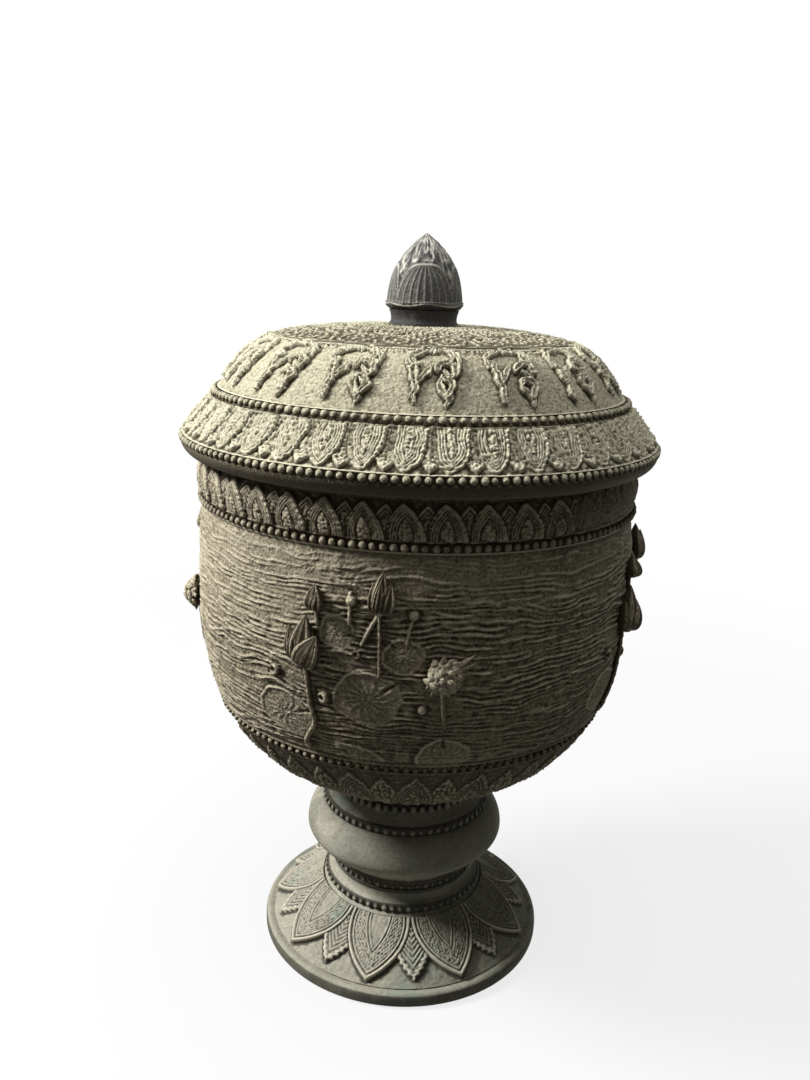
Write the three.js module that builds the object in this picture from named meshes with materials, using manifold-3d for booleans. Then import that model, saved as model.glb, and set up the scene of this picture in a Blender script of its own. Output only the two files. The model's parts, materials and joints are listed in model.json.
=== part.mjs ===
// Lidded incense burner in cast bronze: a deep bowl on a pedestal foot, a domed lid with a
// lotus-bud finial, and lotus sprigs in high relief on the bowl's wall.
// Millimetres, +Z up, origin at the centre of the foot's underside, front towards -Y.

import * as THREE from 'three';
import { mergeVertices } from 'three/addons/utils/BufferGeometryUtils.js';
import Module from 'manifold-3d';

const wasm = await Module();
wasm.setup();

// Fits
const SEAT_GAP = 0.3; // between two pieces that rest on each other
const BORE_GAP = 0.3; // round a rod in its hole or its nut
const SPRIG_GAP = 0.5; // under a sprig, for the solder that holds it
const LID_FIT = 1; // round the lid's spigot in the bowl's mouth
const PLATE_FIT = 2; // round the clamp plate inside the foot
const LINER_FIT = 1; // above the nut under the ash liner

// Foot
const FOOT_RADIUS = 72;
const FOOT_HEIGHT = 28;
const FOOT_EDGE = 1.6;
const FOOT_RIM_HEIGHT = 7;
const FOOT_LEDGE = 4.5;
const FOOT_RING = 9;
const FOOT_TOP_RADIUS = 41.5;
const FOOT_OPENING_RADIUS = 28;
const FOOT_WALL = 4.5;
const FOOT_PETALS = 9;
const FOOT_PETAL_RISE = 2;
const FOOT_PETAL_FILL = 0.85;
const FOOT_PETAL_EDGE = 0.35;

// Stem
const STEM_HEIGHT = 60;
const STEM_WALL = 5;
const STEM_WEB = 6;
const STEM_NECK_RADIUS = 36;
const STEM_NECK_HEIGHT = 12;
const KNOP_BASE_HEIGHT = 17.5;
const KNOP_RADIUS = 50.2;
const KNOP_HEIGHT = 29.4;
const KNOP_TOP_RADIUS = 41.5;
const KNOP_TOP_HEIGHT = 44;
const STEM_TOP_RADIUS = 34;

// Bead mouldings, shared by the stem, the bowl and the lid
const BEAD_WIDTH = 3.6;
const BEAD_RISE = 1.7;

// Bowl
const BOWL_HEIGHT = 164.1;
const BOWL_WALL = 3.5;
const BOWL_FLOOR = 5.5;
const UNDERSIDE_REACH = 46;
const UNDERSIDE_RISE = 16.4;
const BELLY_RADIUS = 102.8;
const BELLY_HEIGHT = 101.4;
const BELLY_DROP = 62;
const SHOULDER_RADIUS = 101.2;
const BAND_HEIGHT = 17.5;
const NECK_RADIUS = 100;
const MOUTH_RADIUS = 93.5;
const MOUTH_DEPTH = 7;

// Lid
const LID_RADIUS = 110;
const LID_HEIGHT = 58;
const LID_WALL = 3.5;
const LID_LIP_RADIUS = 104;
const LID_RIM_HEIGHT = 6.5;
const SKIRT_HEIGHT = 26;
const SKIRT_TOP_RADIUS = 96;
const SHOULDER_LEAN = 6;
const SHOULDER_CLIMB = 7.5;
const SHOULDER_REACH = 12;
const SHOULDER_DIP = 4.5;
const CROWN_RADIUS = 69.5;
const CROWN_DROP = 5.6;
const CROWN_STEP = 0.8;
const CROWN_SWELL = 0.84;
const CROWN_FLAT = 0.6;
const SPIGOT_DEPTH = 8;
const SPIGOT_WALL = 3;

// Petal bands of the lid's skirt and the bowl's rim, one petal to each side of the casting
const BAND_PETALS = 40;
const BAND_TURN = -6.5; // degrees to the first corner, which sets a petal near the front
const PETAL_SINK = 1.2; // how far the ground lies back between the petals
const PETAL_RISE = 2;
const PETAL_BED = 1.4; // how deep a petal is let into the casting
const PETAL_FILL = 0.9; // of a side's width
const PETAL_BELLY = 0.55; // of its length, down to where it starts to narrow
const PETAL_MARGIN = 1; // from the mouldings to the petals' ground
const PETAL_GAP = 0.5; // from the edges of that ground to a petal

// Broad swellings, one to each two sides of the casting
const CALYX_RISE = 1.6;
const CALYX_HEIGHT = 46;
const PENDANT_RISE = 1.4;

// Finial
const COLLAR_RADIUS = 16;
const COLLAR_WAIST = 12.5;
const COLLAR_HEIGHT = 6.5;
const BUD_RADIUS = 18;
const BUD_HEIGHT = 33;
const BUD_LOBES = 8;
const BUD_LOBE_RISE = 0.9;
const BUD_LIP = 2;
const BUD_SIDE_RISE = 11;
const BUD_TIP_DROP = 8;
const BUD_TIP_RADIUS = 14;

// Ash liner
const LINER_RADIUS = 78;
const LINER_HEIGHT = 50;
const LINER_WALL = 1.6;
const LINER_LIP = 1.6;
const LINER_BASE_RADIUS = 30;
const LINER_REACH = 34;
const LINER_KICK_RADIUS = 16;

// Clamp of bowl, stem and foot
const ROD_RADIUS = 4;
const ROD_END = 1.8;
const NUT_WIDTH = 13;
const NUT_HEIGHT = 6.5;
const FLAT_NUT_RADIUS = 12;
const FLAT_NUT_HEIGHT = 3;
const WASHER_RADIUS = 12;
const WASHER_THICKNESS = 1.6;
const PLATE_THICKNESS = 4;

// Fastening of the finial
const STUD_RADIUS = 3;
const STUD_REACH = 16;
const STUD_END = 1.5;
const FINIAL_NUT_WIDTH = 10;
const FINIAL_NUT_HEIGHT = 5;
const FINIAL_WASHER_RADIUS = 9;

// Lotus sprigs: across and up are measured on the bowl's wall from the group's middle and from
// the bowl's base, and the stem runs down from the flower through the points that follow
const SPRIG_GROUPS = { front: -12, right: 78, back: 168, left: 258 };
const SPRIG_STEM_RADIUS = 1.3;
const LEAF_SKEW = 0.8;
const SEPAL_LENGTH = 0.8;
const SEPAL_WIDTH = 0.55;
const SEPAL_DEPTH = 0.7;
const SPRIGS = {
  large_bud: {
    across: -22.8, up: 91.5, length: 21, width: 13, depth: 7.5, sepals: 2, spread: 0.9,
    stem: [[-20.2, 84], [-19.6, 76.5], [-17.3, 67.5], [-23, 59]],
  },
  small_bud: {
    across: -16.9, up: 118.5, length: 9, width: 6.8, depth: 4.5, sepals: 0, spread: 0,
    stem: [[-16.4, 114.5], [-15.8, 110.5]],
  },
  tall_bud: {
    across: 8.8, up: 119, length: 16, width: 9, depth: 5.5, sepals: 2, spread: 0.9,
    stem: [[9.4, 111], [9.6, 102], [9.8, 92]],
  },
  open_flower: {
    across: 34.6, up: 86, length: 16, width: 12, depth: 6.5, sepals: 4, spread: 1.9,
    stem: [[35.2, 79], [36.4, 71]],
  },
};

// How finely round forms are divided
const CASTING_SIDES = BAND_PETALS;
const STEM_SIDES = 24;
const PETAL_SIDES = 6;
const PETAL_END = 0.01;
const NUT_SIDES = 6;
const WALL_STEP = 1e-6;
const LOBE_SIDES = 4;
const FITTING_SIDES = 16;
const LINER_SIDES = 24;
const MOULDING_STEPS = 3;
const CURVE_STEPS = 4;
const LEAF_STEPS = 3;
const LEAF_SIDES = 6;
const STALK_SIDES = 6;
const STALK_STEP = 7;

// Heights at which the pieces stack
const STEM_BASE = FOOT_HEIGHT + SEAT_GAP;
const STEM_TOP = STEM_BASE + STEM_HEIGHT;
const BOWL_BASE = STEM_TOP + SEAT_GAP;
const BOWL_INSIDE = BOWL_BASE + BOWL_FLOOR;
const BOWL_RIM = BOWL_BASE + BOWL_HEIGHT;
const LID_SEAT = BOWL_RIM + SEAT_GAP;
const LID_TOP = LID_SEAT + LID_HEIGHT;
const LID_CEILING = LID_TOP - LID_WALL;
const COLLAR_BASE = LID_TOP + SEAT_GAP;
const BUD_BASE = COLLAR_BASE + COLLAR_HEIGHT + SEAT_GAP;
const FOOT_CEILING = FOOT_HEIGHT - FOOT_WALL;

// Holes for the tie rod and for the finial's stud
const ROD_HOLE = ROD_RADIUS + BORE_GAP;
const STUD_HOLE = STUD_RADIUS + BORE_GAP;

// Outline helpers: points are (radius, height)
const at = (radius, height) => new THREE.Vector2(radius, height);

function bend(from, leaving, arriving, to, steps = CURVE_STEPS) {
  return new THREE.CubicBezierCurve(from, leaving, arriving, to).getPoints(steps);
}

function moulding(from, to, rise) {
  const along = to.clone().sub(from);
  const outward = at(along.y, -along.x).normalize();
  const middle = from.clone().add(to).multiplyScalar(0.5);
  const crest = middle.addScaledVector(outward, 2 * rise);
  return new THREE.QuadraticBezierCurve(from, crest, to).getPoints(MOULDING_STEPS);
}

// A closed body from a geometry whose faces meet but don't share vertices
function closedBody(geometry) {
  geometry.deleteAttribute('normal');
  geometry.deleteAttribute('uv');
  const body = mergeVertices(geometry);
  const corners = body.index.array;
  const faces = [];
  for (let i = 0; i < corners.length; i += 3) {
    const [a, b, c] = corners.subarray(i, i + 3);
    if (a !== b && b !== c && c !== a) faces.push(a, b, c);
  }
  body.setIndex(faces);
  return volumeOf(body) < 0 ? turnedInsideOut(body) : body;
}

function volumeOf(body) {
  const place = body.attributes.position;
  const [a, b, c] = [new THREE.Vector3(), new THREE.Vector3(), new THREE.Vector3()];
  let total = 0;
  for (let i = 0; i < body.index.count; i += 3) {
    a.fromBufferAttribute(place, body.index.getX(i));
    b.fromBufferAttribute(place, body.index.getX(i + 1));
    c.fromBufferAttribute(place, body.index.getX(i + 2));
    total += a.dot(b.cross(c)) / 6;
  }
  return total;
}

function turnedInsideOut(body) {
  const faces = Array.from(body.index.array);
  for (let i = 0; i < faces.length; i += 3) {
    [faces[i], faces[i + 1]] = [faces[i + 1], faces[i]];
  }
  body.setIndex(faces);
  return body;
}

function turned(outline, sides, start = 0) {
  const lathe = new THREE.LatheGeometry(outline, sides, start);
  lathe.rotateX(Math.PI / 2);
  return closedBody(lathe);
}

// A ring, tube or disc with a hole, from its outline of corners
function ring(inner, outer, bottom, top, sides = FITTING_SIDES) {
  const corners = [at(inner, bottom), at(outer, bottom), at(outer, top), at(inner, top)];
  return turned([...corners, corners[0]], sides);
}

function rod(radius, bottom, top) {
  return turned([at(0, bottom), at(radius, bottom), at(radius, top), at(0, top)], FITTING_SIDES);
}

function hexNut(width, hole, bottom, height) {
  const outline = new THREE.Shape();
  const cornerRadius = width / (2 * Math.cos(Math.PI / NUT_SIDES));
  for (let i = 0; i < NUT_SIDES; i += 1) {
    const turn = (2 * i * Math.PI) / NUT_SIDES;
    const corner = [cornerRadius * Math.cos(turn), cornerRadius * Math.sin(turn)];
    if (i === 0) outline.moveTo(...corner);
    else outline.lineTo(...corner);
  }
  const bore = new THREE.Path();
  bore.absarc(0, 0, hole, 0, 2 * Math.PI, true);
  outline.holes.push(bore);
  const settings = { depth: height, bevelEnabled: false, curveSegments: FITTING_SIDES / 2 };
  const nut = new THREE.ExtrudeGeometry(outline, settings);
  nut.translate(0, 0, bottom);
  return closedBody(nut);
}

// Moves each vertex of a turned body outward by a rise that depends on its place
function swollen(body, riseAt) {
  const place = body.attributes.position;
  for (let i = 0; i < place.count; i += 1) {
    const [x, y, z] = [place.getX(i), place.getY(i), place.getZ(i)];
    const radius = Math.hypot(x, y);
    if (radius === 0) continue;
    const angle = Math.atan2(x, -y);
    const rise = riseAt(angle, radius, z);
    const scale = (radius + rise.out) / radius;
    place.setXYZ(i, x * scale, y * scale, z + rise.up);
  }
  return body;
}

// A flat petal let into one side of a casting, from its root to its tip on the outline
function petalPlate(root, tip, angle) {
  const outward = new THREE.Vector3(Math.sin(angle), -Math.cos(angle), 0);
  const flat = Math.cos(Math.PI / BAND_PETALS);
  const spot = (point) => outward.clone().multiplyScalar(point.x * flat).setZ(point.y);
  const along = spot(tip).sub(spot(root));
  const reach = along.length();
  along.normalize();
  const across = new THREE.Vector3().crossVectors(along, outward).normalize();
  const face = new THREE.Vector3().crossVectors(across, along);
  const half = (PETAL_FILL * Math.PI * Math.min(root.x, tip.x)) / BAND_PETALS;
  const outline = new THREE.Shape();
  outline.moveTo(-half, PETAL_GAP);
  outline.lineTo(half, PETAL_GAP);
  outline.lineTo(half, reach * PETAL_BELLY);
  outline.lineTo(0, reach - PETAL_GAP);
  outline.lineTo(-half, reach * PETAL_BELLY);
  const settings = { depth: PETAL_BED + PETAL_RISE, bevelEnabled: false };
  const plate = new THREE.ExtrudeGeometry(outline, settings);
  const seat = spot(root).addScaledVector(face, -PETAL_BED);
  plate.applyMatrix4(new THREE.Matrix4().makeBasis(across, along, face).setPosition(seat));
  return closedBody(plate);
}

const bandStart = THREE.MathUtils.degToRad(BAND_TURN);

function withPetals(casting, root, tip) {
  const pieces = [asSolid(casting)];
  for (let i = 0; i < BAND_PETALS; i += 1) {
    const angle = bandStart + ((i + 0.5) * 2 * Math.PI) / BAND_PETALS;
    pieces.push(asSolid(petalPlate(root, tip, angle)));
  }
  return asBody(wasm.Manifold.union(pieces));
}

// Swells every other corner of a casting, most in the middle of a stretch of its outer wall
function lobeRise(angle, share, rise) {
  if (share <= 0 || share >= 1) return 0;
  const lobes = Math.cos(((angle - bandStart) * BAND_PETALS) / 2 - Math.PI);
  return rise * Math.sin(Math.PI * share) * Math.max(lobes, 0);
}

// Foot: a hollow cone of petals on a rounded rim, open below and in the middle of its top
const CONE_FOOT = at(FOOT_RADIUS - FOOT_LEDGE, FOOT_RIM_HEIGHT);
const CONE_TOP = at(FOOT_TOP_RADIUS, FOOT_HEIGHT - FOOT_EDGE);
const CONE_SLOPE = (CONE_TOP.y - CONE_FOOT.y) / (CONE_TOP.x - CONE_FOOT.x);
const CONE_DROP = FOOT_WALL * Math.hypot(1, CONE_SLOPE);
const CONE_NORMAL = at(-CONE_SLOPE, 1).normalize();
const coneInside = (height) => CONE_FOOT.x + (height + CONE_DROP - CONE_FOOT.y) / CONE_SLOPE;

function footBody() {
  const ringInside = FOOT_RADIUS - FOOT_RING;
  const ringTop = CONE_FOOT.y - CONE_DROP + CONE_SLOPE * (ringInside - CONE_FOOT.x);
  const edgeLow = at(FOOT_RADIUS - FOOT_EDGE, 0);
  const edgeOut = at(FOOT_RADIUS, FOOT_EDGE);
  const shoulder = at(FOOT_RADIUS, FOOT_RIM_HEIGHT - 2 * FOOT_EDGE);
  const ledge = at(FOOT_RADIUS - FOOT_LEDGE / 2, FOOT_RIM_HEIGHT);
  const rim = new THREE.QuadraticBezierCurve(shoulder, at(FOOT_RADIUS, FOOT_RIM_HEIGHT), ledge);
  const petals = new THREE.LineCurve(CONE_FOOT, CONE_TOP).getPoints(CURVE_STEPS);
  const outline = [
    at(ringInside, 0),
    edgeLow,
    edgeOut,
    ...rim.getPoints(MOULDING_STEPS),
    ...petals,
    at(FOOT_TOP_RADIUS - FOOT_EDGE, FOOT_HEIGHT),
    at(FOOT_OPENING_RADIUS, FOOT_HEIGHT),
    at(FOOT_OPENING_RADIUS, FOOT_CEILING),
    at(coneInside(FOOT_CEILING), FOOT_CEILING),
    at(ringInside, ringTop),
    at(ringInside, 0),
  ];
  return swollen(turned(outline, FOOT_PETALS * PETAL_SIDES), footPetalRise);
}

// Broad petals stand proud of the cone, each narrowing to a point at the rim
function footPetalRise(angle, radius, height) {
  const along = (CONE_TOP.x - radius) / (CONE_TOP.x - CONE_FOOT.x);
  const coneHeight = CONE_TOP.y + CONE_SLOPE * (radius - CONE_TOP.x);
  const isEnd = along < PETAL_END || along > 1 - PETAL_END;
  if (isEnd || Math.abs(height - coneHeight) > FOOT_EDGE / 2) return { out: 0, up: 0 };
  const pitch = (angle * FOOT_PETALS) / (2 * Math.PI);
  const across = 2 * Math.abs(pitch - Math.round(pitch));
  const edge = FOOT_PETAL_FILL * Math.sqrt(1 - along ** 3);
  const rise = FOOT_PETAL_RISE * THREE.MathUtils.smoothstep(edge - across, 0, FOOT_PETAL_EDGE);
  return { out: rise * CONE_NORMAL.x, up: rise * CONE_NORMAL.y };
}

// Stem: hollow, with a bead row at each end, one under the knop and one on top of it
function stemBody() {
  const up = (radius, height) => at(radius, STEM_BASE + height);
  const flange = FOOT_TOP_RADIUS - BEAD_RISE;
  const neckIn = STEM_NECK_RADIUS;
  const neckBead = STEM_NECK_HEIGHT + BEAD_WIDTH / 2;
  const topBead = STEM_HEIGHT - BEAD_WIDTH / 2;
  const knopWall = KNOP_RADIUS - STEM_WALL;
  const outline = [
    up(neckIn - STEM_WALL, 0),
    ...moulding(up(flange, 0), up(flange, BEAD_WIDTH), BEAD_RISE),
    up(neckIn, STEM_NECK_HEIGHT - BEAD_WIDTH / 2),
    ...moulding(up(neckIn, STEM_NECK_HEIGHT - BEAD_WIDTH / 2), up(neckIn, neckBead), BEAD_RISE / 2),
    ...bend(
      up(neckIn, KNOP_BASE_HEIGHT),
      up((neckIn + KNOP_RADIUS) / 2, KNOP_BASE_HEIGHT),
      up(KNOP_RADIUS, (KNOP_BASE_HEIGHT + KNOP_HEIGHT) / 2),
      up(KNOP_RADIUS, KNOP_HEIGHT),
    ),
    ...bend(
      up(KNOP_RADIUS, KNOP_HEIGHT),
      up(KNOP_RADIUS, (KNOP_HEIGHT + KNOP_TOP_HEIGHT) / 2),
      up((KNOP_RADIUS + KNOP_TOP_RADIUS) / 2, KNOP_TOP_HEIGHT),
      up(KNOP_TOP_RADIUS, KNOP_TOP_HEIGHT),
    ),
    ...moulding(
      up(KNOP_TOP_RADIUS, KNOP_TOP_HEIGHT),
      up(KNOP_TOP_RADIUS, KNOP_TOP_HEIGHT + BEAD_WIDTH),
      BEAD_RISE,
    ),
    ...moulding(up(STEM_TOP_RADIUS, topBead - BEAD_WIDTH), up(STEM_TOP_RADIUS, topBead), BEAD_RISE),
    up(STEM_TOP_RADIUS, STEM_HEIGHT),
    up(ROD_HOLE, STEM_HEIGHT),
    up(ROD_HOLE, STEM_HEIGHT - STEM_WEB),
    up(STEM_TOP_RADIUS - STEM_WALL, STEM_HEIGHT - STEM_WEB),
    up(KNOP_TOP_RADIUS - STEM_WALL, KNOP_TOP_HEIGHT),
    up(knopWall, KNOP_HEIGHT),
    up(neckIn - STEM_WALL, KNOP_BASE_HEIGHT),
    up(neckIn - STEM_WALL, 0),
  ];
  return turned(outline, STEM_SIDES);
}

// Bowl: its outer wall is two curves, from the seat to the belly and from there to the bead row
const BAND_BASE = BOWL_RIM - BAND_HEIGHT;
const BELLY = BOWL_BASE + BELLY_HEIGHT;
const BEAD_BASE = BAND_BASE - BEAD_WIDTH;

function bellyCurve(radius, seat, reach, rise, drop) {
  return new THREE.CubicBezierCurve(
    seat,
    at(seat.x + reach, seat.y + rise),
    at(radius, BELLY - drop),
    at(radius, BELLY),
  );
}

const UNDERSIDE = bellyCurve(
  BELLY_RADIUS,
  at(STEM_TOP_RADIUS, BOWL_BASE),
  UNDERSIDE_REACH,
  UNDERSIDE_RISE,
  BELLY_DROP,
);
const UPPER_WALL = new THREE.QuadraticBezierCurve(
  at(BELLY_RADIUS, BELLY),
  at(BELLY_RADIUS, (BELLY + BEAD_BASE) / 2),
  at(SHOULDER_RADIUS, BEAD_BASE),
);

function bowlBody() {
  const inside = bellyCurve(
    BELLY_RADIUS - BOWL_WALL,
    at(STEM_TOP_RADIUS, BOWL_INSIDE),
    UNDERSIDE_REACH - BOWL_WALL,
    UNDERSIDE_RISE,
    BELLY_DROP - BOWL_WALL,
  );
  const shoulderInside = at(SHOULDER_RADIUS - BOWL_WALL, BEAD_BASE);
  const outline = [
    at(ROD_HOLE, BOWL_BASE),
    ...UNDERSIDE.getPoints(2 * CURVE_STEPS),
    ...UPPER_WALL.getPoints(MOULDING_STEPS),
    ...moulding(at(SHOULDER_RADIUS, BEAD_BASE), at(SHOULDER_RADIUS, BAND_BASE), BEAD_RISE),
    at(NECK_RADIUS, BOWL_RIM),
    at(MOUTH_RADIUS, BOWL_RIM),
    at(MOUTH_RADIUS, BOWL_RIM - MOUTH_DEPTH),
    shoulderInside,
    ...inside.getPoints(CURVE_STEPS).reverse(),
    at(ROD_HOLE, BOWL_INSIDE),
    at(ROD_HOLE, BOWL_BASE),
  ];
  const casting = swollen(turned(outline, CASTING_SIDES, bandStart), (angle, radius, height) => {
    const share = (height - BOWL_BASE) / CALYX_HEIGHT;
    const isOutside = radius > wallAt(height - BOWL_BASE).radius - BOWL_WALL / 2;
    return { out: isOutside ? lobeRise(angle, share, CALYX_RISE) : 0, up: 0 };
  });
  const root = at(SHOULDER_RADIUS, BAND_BASE + PETAL_MARGIN);
  const tip = at(NECK_RADIUS, BOWL_RIM - PETAL_MARGIN);
  return withPetals(casting, root, tip);
}

// Lid: a spigot in the bowl's mouth, a lip under the rim, then skirt, shoulder and crown
function lidBody() {
  const up = (radius, height) => at(radius, LID_SEAT + height);
  const spigot = MOUTH_RADIUS - LID_FIT;
  const spigotInside = spigot - SPIGOT_WALL;
  const rim = LID_RADIUS - BEAD_RISE / 2;
  const skirtBase = LID_RIM_HEIGHT + BEAD_WIDTH;
  const skirtSpan = SKIRT_HEIGHT - skirtBase;
  const skirtSlope = (rim - SKIRT_TOP_RADIUS) / skirtSpan;
  const shoulderBase = SKIRT_HEIGHT + BEAD_WIDTH;
  const shoulderRadius = SKIRT_TOP_RADIUS - skirtSlope * BEAD_WIDTH;
  const crown = LID_HEIGHT - CROWN_DROP;
  const shoulderCurve = (inset) => bend(
    up(shoulderRadius - inset, shoulderBase - inset / 2),
    up(shoulderRadius - inset - SHOULDER_LEAN, shoulderBase - inset / 2 + SHOULDER_CLIMB),
    up(CROWN_RADIUS + SHOULDER_REACH - inset, crown - SHOULDER_DIP - inset / 2),
    up(CROWN_RADIUS - inset / 2, crown - inset),
    inset > 0 ? MOULDING_STEPS : CURVE_STEPS,
  );
  const crownCurve = (inset) => bend(
    up(CROWN_RADIUS - CROWN_STEP - inset / 2, crown + CROWN_STEP - inset),
    up(CROWN_RADIUS * CROWN_SWELL, LID_HEIGHT - CROWN_DROP / 2 - inset),
    up(CROWN_RADIUS * CROWN_FLAT, LID_HEIGHT - inset),
    up(COLLAR_RADIUS, LID_HEIGHT - inset),
    inset > 0 ? MOULDING_STEPS : CURVE_STEPS,
  );
  const skirtAlong = at(SKIRT_TOP_RADIUS - rim, skirtSpan).normalize();
  const petalTip = up(rim, skirtBase).addScaledVector(skirtAlong, PETAL_MARGIN);
  const petalRoot = up(SKIRT_TOP_RADIUS, SKIRT_HEIGHT).addScaledVector(skirtAlong, -PETAL_MARGIN);
  const skirtFace = at(skirtAlong.y, -skirtAlong.x);
  const sunk = (point) => point.clone().addScaledVector(skirtFace, -PETAL_SINK);
  const outline = [
    up(spigotInside, -SPIGOT_DEPTH),
    up(spigot, -SPIGOT_DEPTH),
    up(spigot, 0),
    up(LID_LIP_RADIUS, 0),
    ...moulding(up(rim, LID_RIM_HEIGHT), up(rim, skirtBase), BEAD_RISE / 2),
    sunk(petalTip),
    sunk(petalRoot),
    ...moulding(up(SKIRT_TOP_RADIUS, SKIRT_HEIGHT), up(shoulderRadius, shoulderBase), BEAD_RISE),
    ...shoulderCurve(0),
    ...crownCurve(0),
    up(STUD_HOLE, LID_HEIGHT),
    up(STUD_HOLE, LID_HEIGHT - LID_WALL),
    ...crownCurve(LID_WALL).reverse(),
    ...shoulderCurve(LID_WALL).reverse(),
    up(rim - 2 * LID_WALL, LID_RIM_HEIGHT),
    up(spigotInside, LID_WALL),
    up(spigotInside, -SPIGOT_DEPTH),
  ];
  const casting = swollen(turned(outline, CASTING_SIDES, bandStart), (angle, radius, height) => {
    const share = (height - LID_SEAT - shoulderBase) / (crown - shoulderBase);
    const isOutside = radius > shoulderRadius + share * (CROWN_RADIUS - shoulderRadius);
    return { out: isOutside ? lobeRise(angle, share, PENDANT_RISE) : 0, up: 0 };
  });
  return withPetals(casting, sunk(petalRoot), sunk(petalTip));
}

// Finial: a waisted collar, and a bud whose lip is drawn out in lobes
function collarBody() {
  const top = COLLAR_BASE + COLLAR_HEIGHT;
  const outline = [
    at(STUD_HOLE, COLLAR_BASE),
    at(COLLAR_RADIUS, COLLAR_BASE),
    at(COLLAR_WAIST, COLLAR_BASE + COLLAR_HEIGHT / 2),
    at(COLLAR_RADIUS, top),
    at(STUD_HOLE, top),
    at(STUD_HOLE, COLLAR_BASE),
  ];
  return turned(outline, STEM_SIDES);
}

function budBody() {
  const top = BUD_BASE + BUD_HEIGHT;
  const sides = bend(
    at(BUD_RADIUS - BUD_LOBE_RISE, BUD_BASE + BUD_LIP),
    at(BUD_RADIUS - 2 * BUD_LOBE_RISE, BUD_BASE + BUD_SIDE_RISE),
    at(BUD_TIP_RADIUS, top - BUD_TIP_DROP),
    at(0, top),
  );
  const socketTop = BUD_BASE + STUD_REACH + STUD_END;
  const outline = [
    at(0, socketTop),
    at(STUD_HOLE, socketTop),
    at(STUD_HOLE, BUD_BASE),
    at(COLLAR_RADIUS, BUD_BASE),
    ...sides,
  ];
  return swollen(turned(outline, BUD_LOBES * LOBE_SIDES), budLobeRise);
}

function budLobeRise(angle, radius, height) {
  if (radius < COLLAR_WAIST) return { out: 0, up: 0 };
  const share = 1 - (height - BUD_BASE) / BUD_HEIGHT;
  return { out: BUD_LOBE_RISE * share * Math.cos(BUD_LOBES * angle), up: 0 };
}

// Ash liner: a thin cup on the bowl's floor, its middle raised to clear the flat nut
function linerBody() {
  const base = BOWL_INSIDE + SEAT_GAP;
  const kick = base + FLAT_NUT_HEIGHT + LINER_FIT;
  const rim = base + LINER_HEIGHT;
  const side = (inset) => bend(
    at(LINER_BASE_RADIUS, base + inset),
    at(LINER_BASE_RADIUS + LINER_REACH, base + UNDERSIDE_RISE + inset),
    at(LINER_RADIUS - inset, (base + rim) / 2),
    at(LINER_RADIUS - inset, rim - LINER_LIP),
  );
  const outline = [
    at(0, kick),
    at(LINER_KICK_RADIUS, kick),
    at(LINER_KICK_RADIUS + LINER_WALL, base),
    ...side(0),
    at(LINER_RADIUS + LINER_LIP, rim - LINER_LIP),
    at(LINER_RADIUS + LINER_LIP, rim),
    at(LINER_RADIUS - LINER_WALL, rim),
    ...side(LINER_WALL).reverse(),
    at(LINER_KICK_RADIUS + 2 * LINER_WALL, base + LINER_WALL),
    at(LINER_KICK_RADIUS + LINER_WALL, kick + LINER_WALL),
    at(0, kick + LINER_WALL),
  ];
  return turned(outline, LINER_SIDES);
}

// Lotus sprigs are shaped flat, x across, y up and z out of the wall, then laid on the bowl
function asSolid(body) {
  const mesh = new wasm.Mesh({
    numProp: 3,
    vertProperties: new Float32Array(body.attributes.position.array),
    triVerts: new Uint32Array(body.index.array),
  });
  return new wasm.Manifold(mesh);
}

function asBody(solid) {
  const mesh = solid.getMesh();
  const body = new THREE.BufferGeometry();
  body.setAttribute('position', new THREE.BufferAttribute(mesh.vertProperties, 3));
  body.setIndex(Array.from(mesh.triVerts));
  return body;
}

function leaf(length, width, depth, lean, across, up) {
  const outline = [];
  for (let i = 0; i <= LEAF_STEPS; i += 1) {
    const share = i / LEAF_STEPS;
    const swell = i === LEAF_STEPS ? 0 : Math.sin(Math.PI * share ** LEAF_SKEW);
    outline.push(at((width / 2) * swell, length * share));
  }
  const lathe = new THREE.LatheGeometry(outline, LEAF_SIDES);
  lathe.scale(1, 1, (2 * depth) / width);
  lathe.rotateZ(lean);
  lathe.translate(across, up, SPRIG_GAP);
  return flatBack(closedBody(lathe));
}

// Presses what lies behind the seat flat against it
function flatBack(body) {
  const place = body.attributes.position;
  for (let i = 0; i < place.count; i += 1) {
    place.setZ(i, Math.max(place.getZ(i), SPRIG_GAP));
  }
  return body;
}

function stalk(points) {
  const route = points.map(([x, y]) => new THREE.Vector3(x, y, SPRIG_GAP + SPRIG_STEM_RADIUS));
  const path = new THREE.CatmullRomCurve3(route);
  const section = new THREE.Shape();
  section.absarc(0, 0, SPRIG_STEM_RADIUS, 0, 2 * Math.PI);
  const tube = new THREE.ExtrudeGeometry(section, {
    extrudePath: path,
    steps: Math.ceil(path.getLength() / STALK_STEP),
    curveSegments: STALK_SIDES / 2,
  });
  return flatBack(closedBody(tube));
}

function sprigBody(sprig, groupAngle) {
  const { across, up, length, width, depth, sepals, spread } = sprig;
  const sepalSize = [length * SEPAL_LENGTH, width * SEPAL_WIDTH, depth * SEPAL_DEPTH];
  let solid = asSolid(leaf(length, width, depth, 0, across, up));
  for (let i = 0; i < sepals; i += 1) {
    const lean = spread * (0.5 - i / (sepals - 1));
    solid = solid.add(asSolid(leaf(...sepalSize, lean, across, up)));
  }
  const budFoot = [across, up + SPRIG_STEM_RADIUS];
  solid = solid.add(asSolid(stalk([budFoot, ...sprig.stem])));
  return laidOnWall(asBody(solid), groupAngle);
}

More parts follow.
